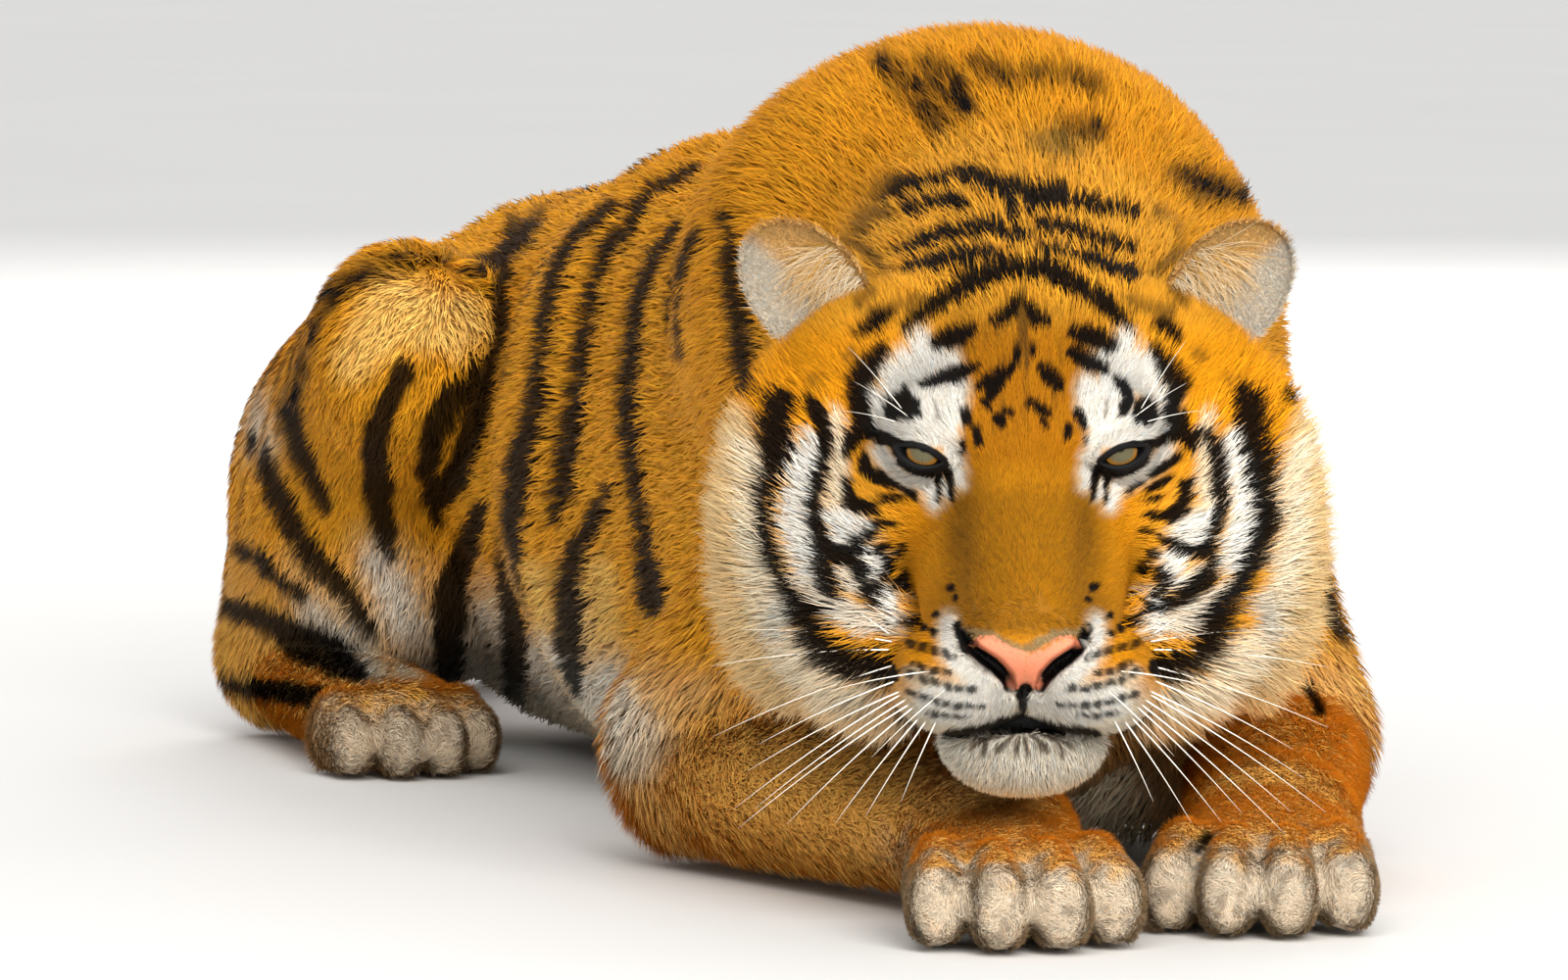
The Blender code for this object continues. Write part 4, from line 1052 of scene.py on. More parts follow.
def paintHead(colour, p, limb):
    # The marks on the head, seen flat from the front, a little uneven along their edges
    q = toHead(p)
    near = np.flatnonzero((q[:, 2] > -300) & (np.abs(q[:, 0]) < 230) & (np.abs(q[:, 1]) < 260))
    q = q[near]
    x, v, w = np.abs(q[:, 0]), q[:, 1], q[:, 2]
    middle = face(0, 0, 0)[None]
    place, _, ahead = sightLine()
    plane = float((middle[0] - place) @ ahead) * 1000.0
    seen = flatView(p[near], plane) - flatView(middle, plane)
    right = seen[:, 0] < 0
    wobble = np.stack((ripple(q, 60.0, 61), ripple(q, 60.0, 62)), 1) * 0.8
    rough = np.stack((ripple(q, 9.0, 63), ripple(q, 9.0, 64)), 1) * 0.9
    exact = np.abs(seen * (1, 0)) + seen * (0, 1)
    flat = exact + wobble + rough
    behind = 0.6 * np.maximum(v, 0.0)
    furry = smooth(w, -190.0 - behind, -150.0 - behind) * (1.0 - smooth(-v, 215, 235)) * (1.0 - limb[near])
    # The bridge's own darker coat, widened over the sides of the nose as painted shade
    bridge = smooth(x, 66, 38) * smooth(-v, -10, 30) * smooth(v, -112, -100)
    # Painted shadow lines down the sides of the bridge, from the eyes' inner corners towards the nose
    beside = np.exp(-((x - 40.0) / 7.0) ** 2) * smooth(-v, 15, 35) * smooth(v, -75, -50)
    inside = layInks(colour[near], (
        ("cream", smooth(-v, 120, 175) * smooth(x, 190, 150) * furry * 0.9),
        ("gold", furry * smooth(x, 60, 100) * smooth(-v, -20, 30) * 0.35),
        ("gold", furry * smooth(v, 70, 95) * 0.3),
        ("brow", furry * smooth(x, 52, 34) * smooth(v, -15, 5) * smooth(-v, -100, -70) * 0.8),
        # the bridge's darker coat, with painted shade on the sides of the nose
        ("bridge", bridge * 0.8),
        # painted shadow lines beside the bridge
        ("brown", beside * 0.3 * furry),
        # painted shade: the white of the lower muzzle and lips greyed where it faces down
        ("pale", furry * smooth(-v, 120, 145) * smooth(x, 80, 62) * 0.8),
        ("cream", markMask(flat, right, "white", 9.0, 4.0) * furry * 0.6),
    ))
    for name, soft, wider, amount in (
        ("sand", 12.0, 0.0, 0.85), ("cream", 9.0, 0.0, 0.85), ("pale", 6.0, 0.0, 0.9),
        ("fringe", 4.5, 0.0, 0.85), ("white", 4.5, 1.0, 0.97), ("brown", 4.0, 0.0, 0.7),
    ):
        inside = mix(inside, name, markMask(flat, right, name, soft, wider) * furry * amount)
    streak = smooth(ripple(q * (1.0, 0.2, 0.2), 7.0, 66), 0.1, 0.9) * smooth(v, 10, 30) * smooth(x, 44, 30)
    speckle = smooth(ripple(q * (1.0, 0.45, 1.0), 4.0, 65), 0.30, 0.85) * bridge
    dotted = 0.5 + 0.5 * smooth(np.sin(flat[:, 0] * 0.85), -0.9, -0.1)
    dotted = strokesMask(flat, faceMarks["whiskerRows"], 1.4, 0.5) * dotted
    colour = colour.copy()
    colour[near] = layInks(inside, (
        ("brown", streak * 0.35 * furry),
        ("brown", speckle * 0.35),
        ("black", dotted * 0.9 * furry),
        ("brown", strokesMask(flat, faceMarks["chinFlecks"], 2.0, 0.5) * 0.85 * furry),
        # the lip corners' black and the painted shadow in their fold
        ("black", strokesMask(flat, faceMarks["mouthCornerShadow"], 4.0) * 0.95 * furry * (w < 60)),
        ("black", markMask(flat, right, "black", 1.8, 1.1) * furry * 0.99),
        ("black", strokesMask(exact, faceMarks["rim"], 1.2) * (w > -60) * 0.99),
    ))
    return colour


def bareMask(q):
    # 1 where the face has no hair: the nose leather, the nostrils, the lips' line and the lids' rims
    flat = np.stack((np.abs(q[:, 0]), q[:, 1]), 1)
    front = q[:, 2] > -60.0
    leather = smooth(-inOutline(flat, features["leather"]), -0.6, 0.6) * (q[:, 2] > 50.0)
    nostril = smooth(-alongStroke(flat, features["nostril"]), -1.2, 0.4) * (q[:, 2] > 40.0)
    lips = smooth(-alongStroke(flat, features["lips"]), -1.2, 0.5) * front
    lips = np.maximum(lips, smooth(-alongStroke(flat, features["philtrum"]), -0.8, 0.5) * front)
    lids = smooth(-almond(flat[:, 0], flat[:, 1]), -3.2, -2.2) * (q[:, 2] > -45.0)
    return leather, nostril, lips, lids


def addNode(tree, kind, settings=None, links=None):
    # Adds a node with its settings; links go from (node, socket) pairs into its inputs
    node = tree.nodes.new(kind)
    for key, value in (settings or {}).items():
        if key in node.inputs:
            node.inputs[key].default_value = value
        else:
            setattr(node, key, value)
    for socket, (source, output) in (links or {}).items():
        tree.links.new(source.outputs[output], node.inputs[socket])
    return node


def newMaterial(name):
    # A material with its node tree and its shader
    material = bpy.data.materials.new(name)
    material.use_nodes = True
    tree = material.node_tree
    return material, tree, tree.nodes["Principled BSDF"]


def addObject(name, data):
    # A new object in the scene
    made = bpy.data.objects.new(name, data)
    bpy.context.scene.collection.objects.link(made)
    return made


def tintBase(tree, shader, flecks, limits):
    # The mesh's own pigment as the base colour, lifted and dimmed by flecks
    tint = addNode(tree, "ShaderNodeAttribute", {"attribute_name": "pigment"})
    lift = addNode(tree, "ShaderNodeMapRange", limits, {"Value": (flecks, "Fac")})
    links = {0: (tint, "Color"), "Scale": (lift, "Result")}
    shade = addNode(tree, "ShaderNodeVectorMath", {"operation": "SCALE"}, links)
    tree.links.new(shade.outputs[0], shader.inputs["Base Color"])


def setSockets(shader, values):
    # Plain numbers on the shader's own sockets
    for name, value in values.items():
        shader.inputs[name].default_value = value


def skinMaterial():
    # Hide with a down of short hairs: its pigment is in the mesh, fine pores and hair grain lift the light,
    # and the bare nose and lips are smoother and shine a little
    material, tree, shader = newMaterial("furred hide")
    place = addNode(tree, "ShaderNodeTexCoord")
    wet = addNode(tree, "ShaderNodeAttribute", {"attribute_name": "wet"})
    onSkin = {"Vector": (place, "Object")}
    grain = addNode(tree, "ShaderNodeTexNoise", {"Scale": 900.0, "Detail": 4.0}, onSkin)  # hairs 1 mm apart
    pebble = addNode(tree, "ShaderNodeTexVoronoi", {"Scale": 700.0}, onSkin)  # on the nose, 1.5 mm apart
    tintBase(tree, shader, grain, {"To Min": 0.72, "To Max": 1.25})
    rough = addNode(tree, "ShaderNodeMapRange", {"To Min": 0.75, "To Max": 0.34}, {"Value": (wet, "Fac")})
    tree.links.new(rough.outputs[0], shader.inputs["Roughness"])
    links = {0: (wet, "Fac"), 2: (grain, "Fac"), 3: (pebble, "Distance")}
    relief = addNode(tree, "ShaderNodeMix", {"data_type": "FLOAT"}, links)
    bump = addNode(tree, "ShaderNodeBump", {"Strength": 0.35, "Distance": 0.0006}, {"Height": (relief, 0)})
    tree.links.new(bump.outputs[0], shader.inputs["Normal"])
    setSockets(shader, {"IOR": 1.45, "Specular IOR Level": 0.3})
    return material


def hairMaterial():
    # Keratin hairs in tufts: pigment in the mesh, light and dark strands, and the soft gloss of clean fur
    material, tree, shader = newMaterial("keratin fur")
    strand = addNode(tree, "ShaderNodeAttribute", {"attribute_name": "strand"})
    inStrand = {"Vector": (strand, "Vector")}
    streak = addNode(tree, "ShaderNodeTexNoise", {"Scale": 6.0, "Detail": 3.0}, inStrand)
    tintBase(tree, shader, streak, {"From Min": 0.25, "From Max": 0.75, "To Min": 0.70, "To Max": 1.28})
    setSockets(shader, {"Roughness": 0.62, "IOR": 1.5, "Specular IOR Level": 0.1})
    return material


def addPiece(name, mesh, material):
    # A finished piece at the solids' origin, its place in its mesh, riding on the one body
    mesh.materials.clear()
    mesh.materials.append(material)
    piece = addObject(name, mesh)
    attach(piece, "root")
    return piece


def storeColour(mesh, name, values):
    # Keeps a colour for every point of a mesh
    rgba = np.ones((len(values), 4), np.float32)
    rgba[:, :3] = values
    mesh.color_attributes.new(name, "FLOAT_COLOR", "POINT").data.foreach_set("color", rgba.ravel())


def storeWet(mesh, values):
    # Keeps how wet every point of a mesh is
    attribute = mesh.attributes.new("wet", "FLOAT", "POINT")
    attribute.data.foreach_set("value", values.astype(np.float32))


def storeStrand(mesh, values):
    # Keeps where every point lies in its strand, which the fur's streaks read
    attribute = mesh.attributes.new("strand", "FLOAT_VECTOR", "POINT")
    attribute.data.foreach_set("vector", values.astype(np.float32).ravel())


def faceOutwards(mesh):
    # Turns a closed mesh's faces the same way, outwards
    bm = bmesh.new()
    bm.from_mesh(mesh)
    bmesh.ops.recalc_face_normals(bm, faces=bm.faces[:])
    bm.to_mesh(mesh)
    bm.free()


def makeSkin():
    # The body's skin and the two ear cups in one mesh, its holes closed and its faces triangles
    mesh = makeBodySkin()
    bm = bmesh.new()
    bm.from_mesh(mesh)
    isEar = bm.faces.layers.int.new("ear")
    for _, s in sides:
        points, quads = earCup(s)
        deep = skinField(points) < -0.004
        made = [bm.verts.new(point) for point in points]
        for quad in quads[~deep[quads].all(1)].tolist():
            bm.faces.new([made[i] for i in quad])[isEar] = s
    loose = [vert for vert in bm.verts if not vert.link_faces]
    bmesh.ops.delete(bm, geom=loose, context="VERTS")
    bmesh.ops.holes_fill(bm, edges=[edge for edge in bm.edges if edge.is_boundary], sides=ear["around"])
    bmesh.ops.triangulate(bm, faces=bm.faces[:])
    bm.to_mesh(mesh)
    bm.free()
    mesh.shade_smooth()
    say("skin of %d triangles" % len(mesh.polygons))
    return mesh


def unwrap(piece):
    # An unwrap of the skin's own shape, kept as the map OFBake
    bpy.context.view_layer.objects.active = piece
    piece.select_set(True)
    piece.data.uv_layers.new(name="OFBake")
    bpy.ops.object.mode_set(mode="EDIT")
    bpy.ops.mesh.select_all(action="SELECT")
    bpy.ops.uv.smart_project(angle_limit=math.radians(66), island_margin=0.002)
    bpy.ops.object.mode_set(mode="OBJECT")
    piece.select_set(False)
    say("skin unwrapped")


def earFrame(p, s):
    # Points in an ear's own frame, in mm: out, up and forward
    x, v, w = ear["centre"]
    return (p - face(s * x, v, w)) @ earRows(s).T * 1000.0


def paintEar(p, s):
    # Grey-white at the outer rim, golden towards the crown and darker low on the cup's inner side as painted
    # shade; a black back, its spot pale
    q = earFrame(p, s)
    x, v, w = q[:, 0] * s, q[:, 1], q[:, 2]
    reach = np.hypot(x / ear["wide"], v / ear["tall"])
    front = smooth(w + 15.0 * (1 - reach), -4.0, 2.0)
    spot = smooth(1.0 - np.hypot(x / 14.0, (v - 8.0) / 18.0), 0.0, 0.4) * (1.0 - front)
    colour = mix(np.repeat(inks["black"][None], len(p), 0), "white", spot)
    medial = smooth(-x + 0.15 * v, -6.0, 10.0)
    # painted shade low on the cup's inner side
    hollow = smooth(np.hypot((x + 10.0) / 19.0, (v + 12.0) / 21.0), 1.0, 0.5)
    inner = layInks(np.repeat(inks["earGrey"][None], len(p), 0), (
        ("back", medial * 0.4), ("gold", medial * 0.6), ("brown", hollow * 0.85),
    ))
    front = np.maximum(front, smooth(-x, 14.0, 24.0) * smooth(reach, 0.7, 0.9) * smooth(w, -12.0, -4.0))
    return colour + (inner - colour) * front[:, None]


def finishSkin(mesh):
    # Paints the skin: the coat's own colours, darkened as painted shade under the coat, and the bare parts
    points, _ = meshArrays(mesh)
    _, share, _ = survey(points)
    colour = paint(points, share, pointNormals(mesh)) * skin["tone"]
    q = toHead(points)
    leather, nostril, lips, lids = bareMask(q)
    freckle = smooth(ripple(q, 7.0, 71), 0.55, 0.95)[:, None] * 0.08
    pink = inks["pink"] * (1.0 - 0.35 * smooth(-q[:, 1], 126, 140))[:, None] * (1.0 - freckle)
    colour += (pink - colour) * leather[:, None]
    nostril = nostril * (1.0 - leather)
    colour = mix(colour, "lip", np.maximum(nostril, np.maximum(lips, lids)))
    flags = np.empty(len(mesh.polygons), np.int32)
    mesh.attributes["ear"].data.foreach_get("value", flags)
    corners = np.empty(len(mesh.polygons) * 3, np.int32)
    mesh.polygons.foreach_get("vertices", corners)
    corners = corners.reshape(-1, 3)
    for _, s in sides:
        own = np.unique(corners[flags == s])
        # the ears' skin under their short fur is darkened too, as painted shade
        colour[own] = paintEar(points[own], s) * skin["earTone"]
    storeColour(mesh, "pigment", colour)
    storeWet(mesh, np.maximum(leather, np.maximum(nostril * 0.5, np.maximum(lips * 0.6, lids * 0.4))))
    return points, corners, flags


# How the coat is laid out; the ears have their own short fur, in metres
fur = {
    "ear": {"gap": 0.0014, "length": 0.007, "depth": 0.0018, "width": 0.00065},
    "limit": 190000,  # triangles in one piece
    "floor": 0.0008,  # the lowest that a hair goes
    "sunk": 0.001,  # how far the roots reach into the skin
    "patch": 0.003,  # each root's patch of the unwrap
    "short": (3, ((0.0, 1.0), (1.0, 0.0))),  # strands of a tuft, then how far along and how wide, to the tip
    "long": (2, ((0.0, 0.8), (0.55, 0.75), (1.0, 0.0))),
}


def placeTufts(skinMesh, points, corners, flags):
    # Roots on the skin's triangles, as many as each region's gap asks, with the lie and colours found there
    rng = np.random.default_rng(2024)
    a, b, c = (points[corners[:, i]] for i in range(3))
    normal = np.cross(b - a, c - a)
    area = np.linalg.norm(normal, axis=1) / 2.0
    middle = (a + b + c) / 3.0
    _, share, _ = survey(middle)
    gap = np.where(flags != 0, fur["ear"]["gap"], np.exp(share @ np.log(ofCoat("gap"))))
    count = np.floor(area / gap ** 2 + rng.random(len(gap))).astype(int)
    hidden = (middle[:, 2] < 0.006) | ((middle[:, 2] < 0.03) & (normal[:, 2] < -0.9 * 2 * area))
    count[hidden] = 0
    owner = np.repeat(np.arange(len(count)), count)
    u, v = rng.random((2, len(owner)))
    flip = u + v > 1.0
    u, v = np.where(flip, 1.0 - u, u), np.where(flip, 1.0 - v, v)
    weights = np.stack((1.0 - u - v, u, v), 1)
    root = np.einsum("ni,nij->nj", weights, points[corners[owner]])
    up = np.einsum("ni,nij->nj", weights, pointNormals(skinMesh)[corners[owner]])
    up /= np.linalg.norm(up, axis=1, keepdims=True)
    uv = np.empty(len(corners) * 6, np.float32)
    skinMesh.uv_layers["OFBake"].data.foreach_get("uv", uv)
    uv = np.einsum("ni,nij->nj", weights, uv.reshape(-1, 3, 2)[owner].astype(float))
    say("%d roots" % len(root))
    return dict(root=root, up=up, uv=uv, ear=flags[owner])


def layCoat(tufts):
    # For every root: its regions, length and depth, and the way the coat lies there
    root, up = tufts["root"], tufts["up"]
    whole, share, lie = survey(root)
    q = toHead(root)
    x, v, w = np.abs(q[:, 0]), q[:, 1], q[:, 2]
    onHead = ("nose", "muzzle", "face", "crown", "cheek", "ruff", "chin")
    headed = share[:, [regions.index(region) for region in onHead]].sum(1)
    away = q - (0.0, -104.0, 70.0)  # on the head the coat runs away from the nose
    away[:, 1] += 0.25 * x * (v > -90)
    away[:, 1] -= 0.5 * np.maximum(x - 90.0, 0.0)
    away /= np.linalg.norm(away, axis=1, keepdims=True)
    lids = np.exp(-(np.maximum(almond(x, v), 0.0) / 7.0) ** 2) * smooth(x, 48, 58) * (w > -60)
    above = v > 3.4 + 0.34 * (x - 63.0)
    away[:, 0] += lids * 1.1 * np.sign(q[:, 0])
    away[:, 1] -= lids * np.where(above, 1.6, 0.7)
    lie = lie / np.maximum(np.linalg.norm(lie, axis=1, keepdims=True), 1e-6) * (1.0 - headed)[:, None]
    lie = lie + away @ headRows * headed[:, None]
    for _, s in sides:
        own = tufts["ear"] == s
        out = earFrame(root[own], s)
        lie[own] = (np.stack((out[:, 0] * 0.6 + 6 * s, out[:, 1] + 45.0, out[:, 0] * 0.0), 1)) @ earRows(s)
    swirl = np.stack([ripple(root, 0.035, 80 + i) for i in range(3)], 1)
    lie = lie / np.linalg.norm(lie, axis=1, keepdims=True) + 0.28 * swirl
    lie = lie - up * (lie * up).sum(1, keepdims=True)
    lie /= np.maximum(np.linalg.norm(lie, axis=1, keepdims=True), 1e-6)
    clear = np.minimum(smooth(almond(x, v), 2.0, 11.0) + (w < -60), 1.0)  # hairs are shorter near the lids
    tufts.update(share=share, lie=lie, whole=whole)
    for key, least in (("length", 0.5), ("depth", 0.4), ("width", 1.0)):
        values = share @ ofCoat(key) * (least + (1.0 - least) * clear)
        tufts[key] = np.where(tufts["ear"] != 0, fur["ear"][key], values)


def keep(tufts, chosen):
    # The chosen tufts alone
    return {key: value[chosen] for key, value in tufts.items()}


def growTufts(tufts, strands, levels, seed):
    # Ribbons from each root: they rise quickly to the coat's depth and lie back along it. Each level gives
    # (how far along, how wide); the last is the tip, a single point. Strands of a tuft fan apart.
    rng = np.random.default_rng(seed)
    n = len(tufts["root"])
    along = np.array([level[0] for level in levels])
    wide = np.array([level[1] for level in levels[:-1]])
    length = tufts["length"][:, None] * rng.uniform(0.62, 1.22, (n, strands))
    depth = np.minimum(tufts["depth"][:, None] * rng.uniform(0.75, 1.15, (n, strands)), length * 0.8)
    lane = np.arange(strands) - (strands - 1) / 2.0
    yaw = rng.normal(0.0, 0.16, (n, 1)) + rng.normal(0.0, 0.10, (n, strands)) + lane * 0.12
    roll = rng.normal(0.0, 0.5, (n, strands))
    up, lie = tufts["up"][:, None], tufts["lie"][:, None]
    side = np.cross(tufts["lie"], tufts["up"])[:, None]
    ahead = lie * np.cos(yaw)[..., None] + side * np.sin(yaw)[..., None]
    beside = side * np.cos(yaw)[..., None] - lie * np.sin(yaw)[..., None]
    flatSide = beside * np.cos(roll)[..., None] + up * np.sin(roll)[..., None]
    reach = np.sqrt(np.maximum(length ** 2 - depth ** 2, 0.0))
    width = tufts["width"][:, None, None]
    start = tufts["root"][:, None] - up * fur["sunk"] + side * (lane[None, :, None] * width * 0.9)
    t = along[None, None, :, None]
    rise = up[:, :, None] * (depth[..., None, None] + fur["sunk"]) * (2.0 * t - t * t)
    centre = start[:, :, None] + ahead[:, :, None] * reach[..., None, None] * t + rise
    edge = flatSide[:, :, None] * (width[..., None] * 0.5 * wide[None, None, :, None])
    rings = len(levels) - 1
    rows = np.stack((centre[:, :, :-1] - edge, centre[:, :, :-1] + edge), 3).reshape(n, strands, rings * 2, 3)
    points = np.concatenate((rows, centre[:, :, -1:]), 2)
    points[..., 2] = np.maximum(points[..., 2], fur["floor"])
    perStrand = rings * 2 + 1
    tris = []
    for i in range(0, 2 * rings - 2, 2):
        tris += [(i, i + 1, i + 3), (i, i + 3, i + 2)]
    tris.append((perStrand - 3, perStrand - 2, perStrand - 1))
    faces = (np.arange(n * strands)[:, None, None] * perStrand + np.array(tris)[None]).reshape(-1, 3)
    ts = np.concatenate((np.repeat(along[:-1], 2), along[-1:]))
    across = np.concatenate((np.tile((0.0, 1.0), rings), (0.5,)))
    t = 0.6  # where a strand shows most between its neighbours
    shown = start + ahead * reach[..., None] * t + up * depth[..., None] * (2.0 * t - t * t)
    bulge = ((across - 0.5) * 0.9)[:, None]
    normals = up[:, :, None] + flatSide[:, :, None] * bulge + ahead[:, :, None] * (0.15 + 0.25 * ts)[:, None]
    return points.reshape(-1, 3), faces, ts, across, perStrand, shown.reshape(-1, 3), normals.reshape(-1, 3)


def coatMesh(name, tufts, strands, levels, seed):
    # One piece of coat: its tufts' mesh, their colours from root to tip with painted shade towards the roots, and
    # their patches of the unwrap
    rng = np.random.default_rng(seed + 1)
    points, faces, ts, across, perStrand, shown, normals = growTufts(tufts, strands, levels, seed)
    n = len(tufts["root"])
    colour = paint(shown, np.repeat(tufts["share"], strands, 0), np.repeat(tufts["up"], strands, 0))
    colour = colour.reshape(n, strands, 3)
    for _, s in sides:
        own = tufts["ear"] == s
        colour[own] = paintEar(tufts["root"][own], s)[:, None]
    light = np.exp(rng.normal(0.0, 0.12, (n, 1)) + rng.normal(0.0, 0.08, (n, strands)))
    warm = rng.normal(0.0, 0.05, (n, 1))
    colour = colour * np.concatenate((1.0 + warm, np.ones((n, 1)), 1.0 - warm), 1)[:, None]
    limb = tufts["share"][:, [regions.index("foreleg"), regions.index("forepaw")]].sum(1)[:, None, None]
    # Painted shade darkens each strand towards its root; on the forelegs and forepaws the roots are lifted,
    # painted light where the head shades them
    shade = 0.55 + 0.55 * ts ** 0.7 + 0.25 * limb * (1.0 - ts)
    colours = colour[:, :, None, :] * light[..., None, None] * shade[..., None]
    mesh = bpy.data.meshes.new(name)
    mesh.vertices.add(len(points))
    mesh.loops.add(len(faces) * 3)
    mesh.polygons.add(len(faces))
    setPoints(mesh, points + shift)
    mesh.loops.foreach_set("vertex_index", faces.astype(np.int32).ravel())
    mesh.polygons.foreach_set("loop_start", np.arange(0, len(faces) * 3, 3, dtype=np.int32))
    mesh.update(calc_edges=True)
    storeColour(mesh, "pigment", np.clip(colours, 0.0, 0.95).reshape(-1, 3))
    which = np.tile(np.stack((across, ts), 1), (n * strands, 1))
    lane = np.repeat((np.arange(n * strands) * 0.37) % 97.0, perStrand)
    storeStrand(mesh, np.stack((which[:, 0] * 0.5 + lane, which[:, 1] * 0.35, lane), 1))
    patch = (which - 0.5) * fur["patch"] + np.repeat(tufts["uv"], strands * perStrand, 0)
    layer = mesh.uv_layers.new(name="OFBake")
    layer.data.foreach_set("uv", np.clip(patch, 0.0, 1.0)[faces.ravel()].astype(np.float32).ravel())
    mesh.shade_smooth()
    mesh.normals_split_custom_set_from_vertices(normals / np.linalg.norm(normals, axis=1, keepdims=True))
    return mesh


def growCoat(tufts, material):
    # Sorts the tufts into pieces by the region that counts most at each root
    largest = tufts["share"].argmax(1)
    sets = {
        "face": ("nose", "muzzle", "face"), "crown": ("crown",), "cheeks": ("cheek",),
        "ruff": ("ruff", "chin"), "neck": ("neck",), "shoulders": ("hump",),
        "trunk": ("trunk",), "haunches": ("haunch",),
        "legs": ("foreleg", "forepaw", "shank", "hindpaw"), "tail": ("tail",),
    }
    total = 0
    for number, (name, members) in enumerate(sets.items()):
        own = np.isin(largest, [regions.index(member) for member in members]) & (tufts["ear"] == 0)
        kind = fur["long" if coat[members[0]]["bent"] else "short"]
        total += addCoat(name, keep(tufts, own), *kind, 100 + number, material)
    total += addCoat("ears", keep(tufts, tufts["ear"] != 0), *fur["short"], 150, material)
    say("coat of %d triangles" % total)


def addCoat(name, own, strands, levels, seed, material):
    # As many pieces, each with every second or third tuft, as keep each under the limit of triangles
    each = strands * (2 * (len(levels) - 2) + 1)
    n = len(own["root"])
    parts = max(1, math.ceil(n * each / fur["limit"]))
    for part in range(parts):
        label = "coat_" + name + ("_%d" % (part + 1) if parts > 1 else "")
        chosen = keep(own, np.arange(part, n, parts))
        addPiece(label, coatMesh(label, chosen, strands, levels, seed * 10 + part), material)
    say("%s: %d tufts, %d triangles in %d" % (name, n, n * each, parts))
    return n * each


# Each eye: a ball with a bulging cornea over a round pupil and an iris, in mm and degrees off its gaze
eye = {
    "radius": 17.4, "bulge": 1.0, "cornea": 42.0, "iris": 39.0, "pupil": 8.0,
    "turn": 2.0, "raise": 15.0,  # the gaze, outwards and up from the head's own
    "around": 96, "rings": 72,
    "irisColour": "#504A32", "edgeColour": "#80520E", "pupilColour": "#060403",
}


def eyeGlobe(s):
    # A globe from the gaze axis backwards, its radius plus a bulge that fades at the cornea's edge; with the
    # angle off the gaze and round it of every point
    out, rise = math.radians(eye["turn"]) * s, math.radians(eye["raise"])
    level = math.cos(rise)
    gaze = np.array((math.sin(out) * level, math.sin(rise), math.cos(out) * level)) @ headRows
    right = np.cross(headRows[1], gaze)
    right /= np.linalg.norm(right)
    upward = np.cross(gaze, right)
    angle = np.concatenate((np.linspace(0.4, 45.0, eye["rings"] - 20), np.linspace(50.0, 179.0, 20)))
    around = np.linspace(0.0, 2.0 * math.pi, eye["around"], endpoint=False)
    a, f = np.meshgrid(np.radians(angle), around, indexing="ij")
    r = (eye["radius"] + eye["bulge"] * smooth(-np.degrees(a), -eye["cornea"], -10.0)) / 1000.0
    ring = np.cos(f)[..., None] * right + np.sin(f)[..., None] * upward
    way = np.cos(a)[..., None] * gaze + np.sin(a)[..., None] * ring
    points = face(*(eyeCentre() * (s, 1, 1))) + way * r[..., None]
    return points.reshape(-1, 3), np.degrees(a).ravel(), f.ravel()


def paintEye(off, around, s):
    # Fibres that run out from the pupil, amber towards the iris's edge, dark in the pupil and past the iris, with
    # the upper lid's shadow painted over the iris's top
    fine = np.sin(around * 37 + 2.0 * np.sin(around * 5 + s) + off * 0.25)
    fibre = 0.5 + 0.5 * fine * np.sin(around * 11 + off * 0.4)
    iris = toLinear(eye["irisColour"])[None] * (0.75 + 0.45 * fibre)[:, None]
    amber = smooth(off, eye["iris"] - 16.0, eye["iris"] - 5.0)[:, None]
    iris = iris + (toLinear(eye["edgeColour"]) - iris) * amber * 0.85
    # painted shadow of the upper lid over the iris's top half
    lidShadow = smooth(np.sin(around), 0.2, 0.9) * smooth(off, 4.0, 16.0)
    iris = iris * (1.0 - 0.45 * lidShadow)[:, None]
    pupil = smooth(off, eye["pupil"] + 2.0, eye["pupil"] - 2.0) * 0.9
    dark = np.maximum(pupil, smooth(off, eye["iris"] - 5.0, eye["iris"]))[:, None]
    return iris * (1.0 - dark) + toLinear(eye["pupilColour"]) * dark


def makeEye(side, s, material):
    # One eyeball, closed by a small cap at each pole
    points, off, around = eyeGlobe(s)
    m, n = eye["rings"], eye["around"]
    caps = [list(range(n)), list(range((m - 1) * n, m * n))[::-1]]
    mesh = bpy.data.meshes.new("eyeball_" + side)
    mesh.from_pydata((points + shift).tolist(), [], gridQuads(m, n)[:, [0, 3, 2, 1]].tolist() + caps)
    faceOutwards(mesh)
    mesh.shade_smooth()
    storeColour(mesh, "pigment", paintEye(off, around, s))
    piece = addPiece("eyeball_" + side, mesh, material)
    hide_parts("eye_" + side)


# Each lid's margin: mm from the eye's centre and half its thickness, then its points along an arc and round
lidRim = {"reach": 19.6, "thick": 1.3, "steps": 56, "round": 10, "wet": 0.45}


def lidPath():
    # The edge of the eye's opening: its upper and its lower arc, from corner to corner and back
    middle, half, along = eyeLine()
    across = np.array((-along[1], along[0]))
    arcs = []
    for bow, sign, r in lidArcs(half):
        widest = math.asin(half / r)
        angle = np.linspace(-widest, widest, lidRim["steps"] + 1)[:-1] * sign
        rise = sign * (np.cos(angle) * r - (r - bow))
        arcs.append(middle + np.outer(np.sin(angle) * r, along) + np.outer(rise, across))
    return np.concatenate(arcs)


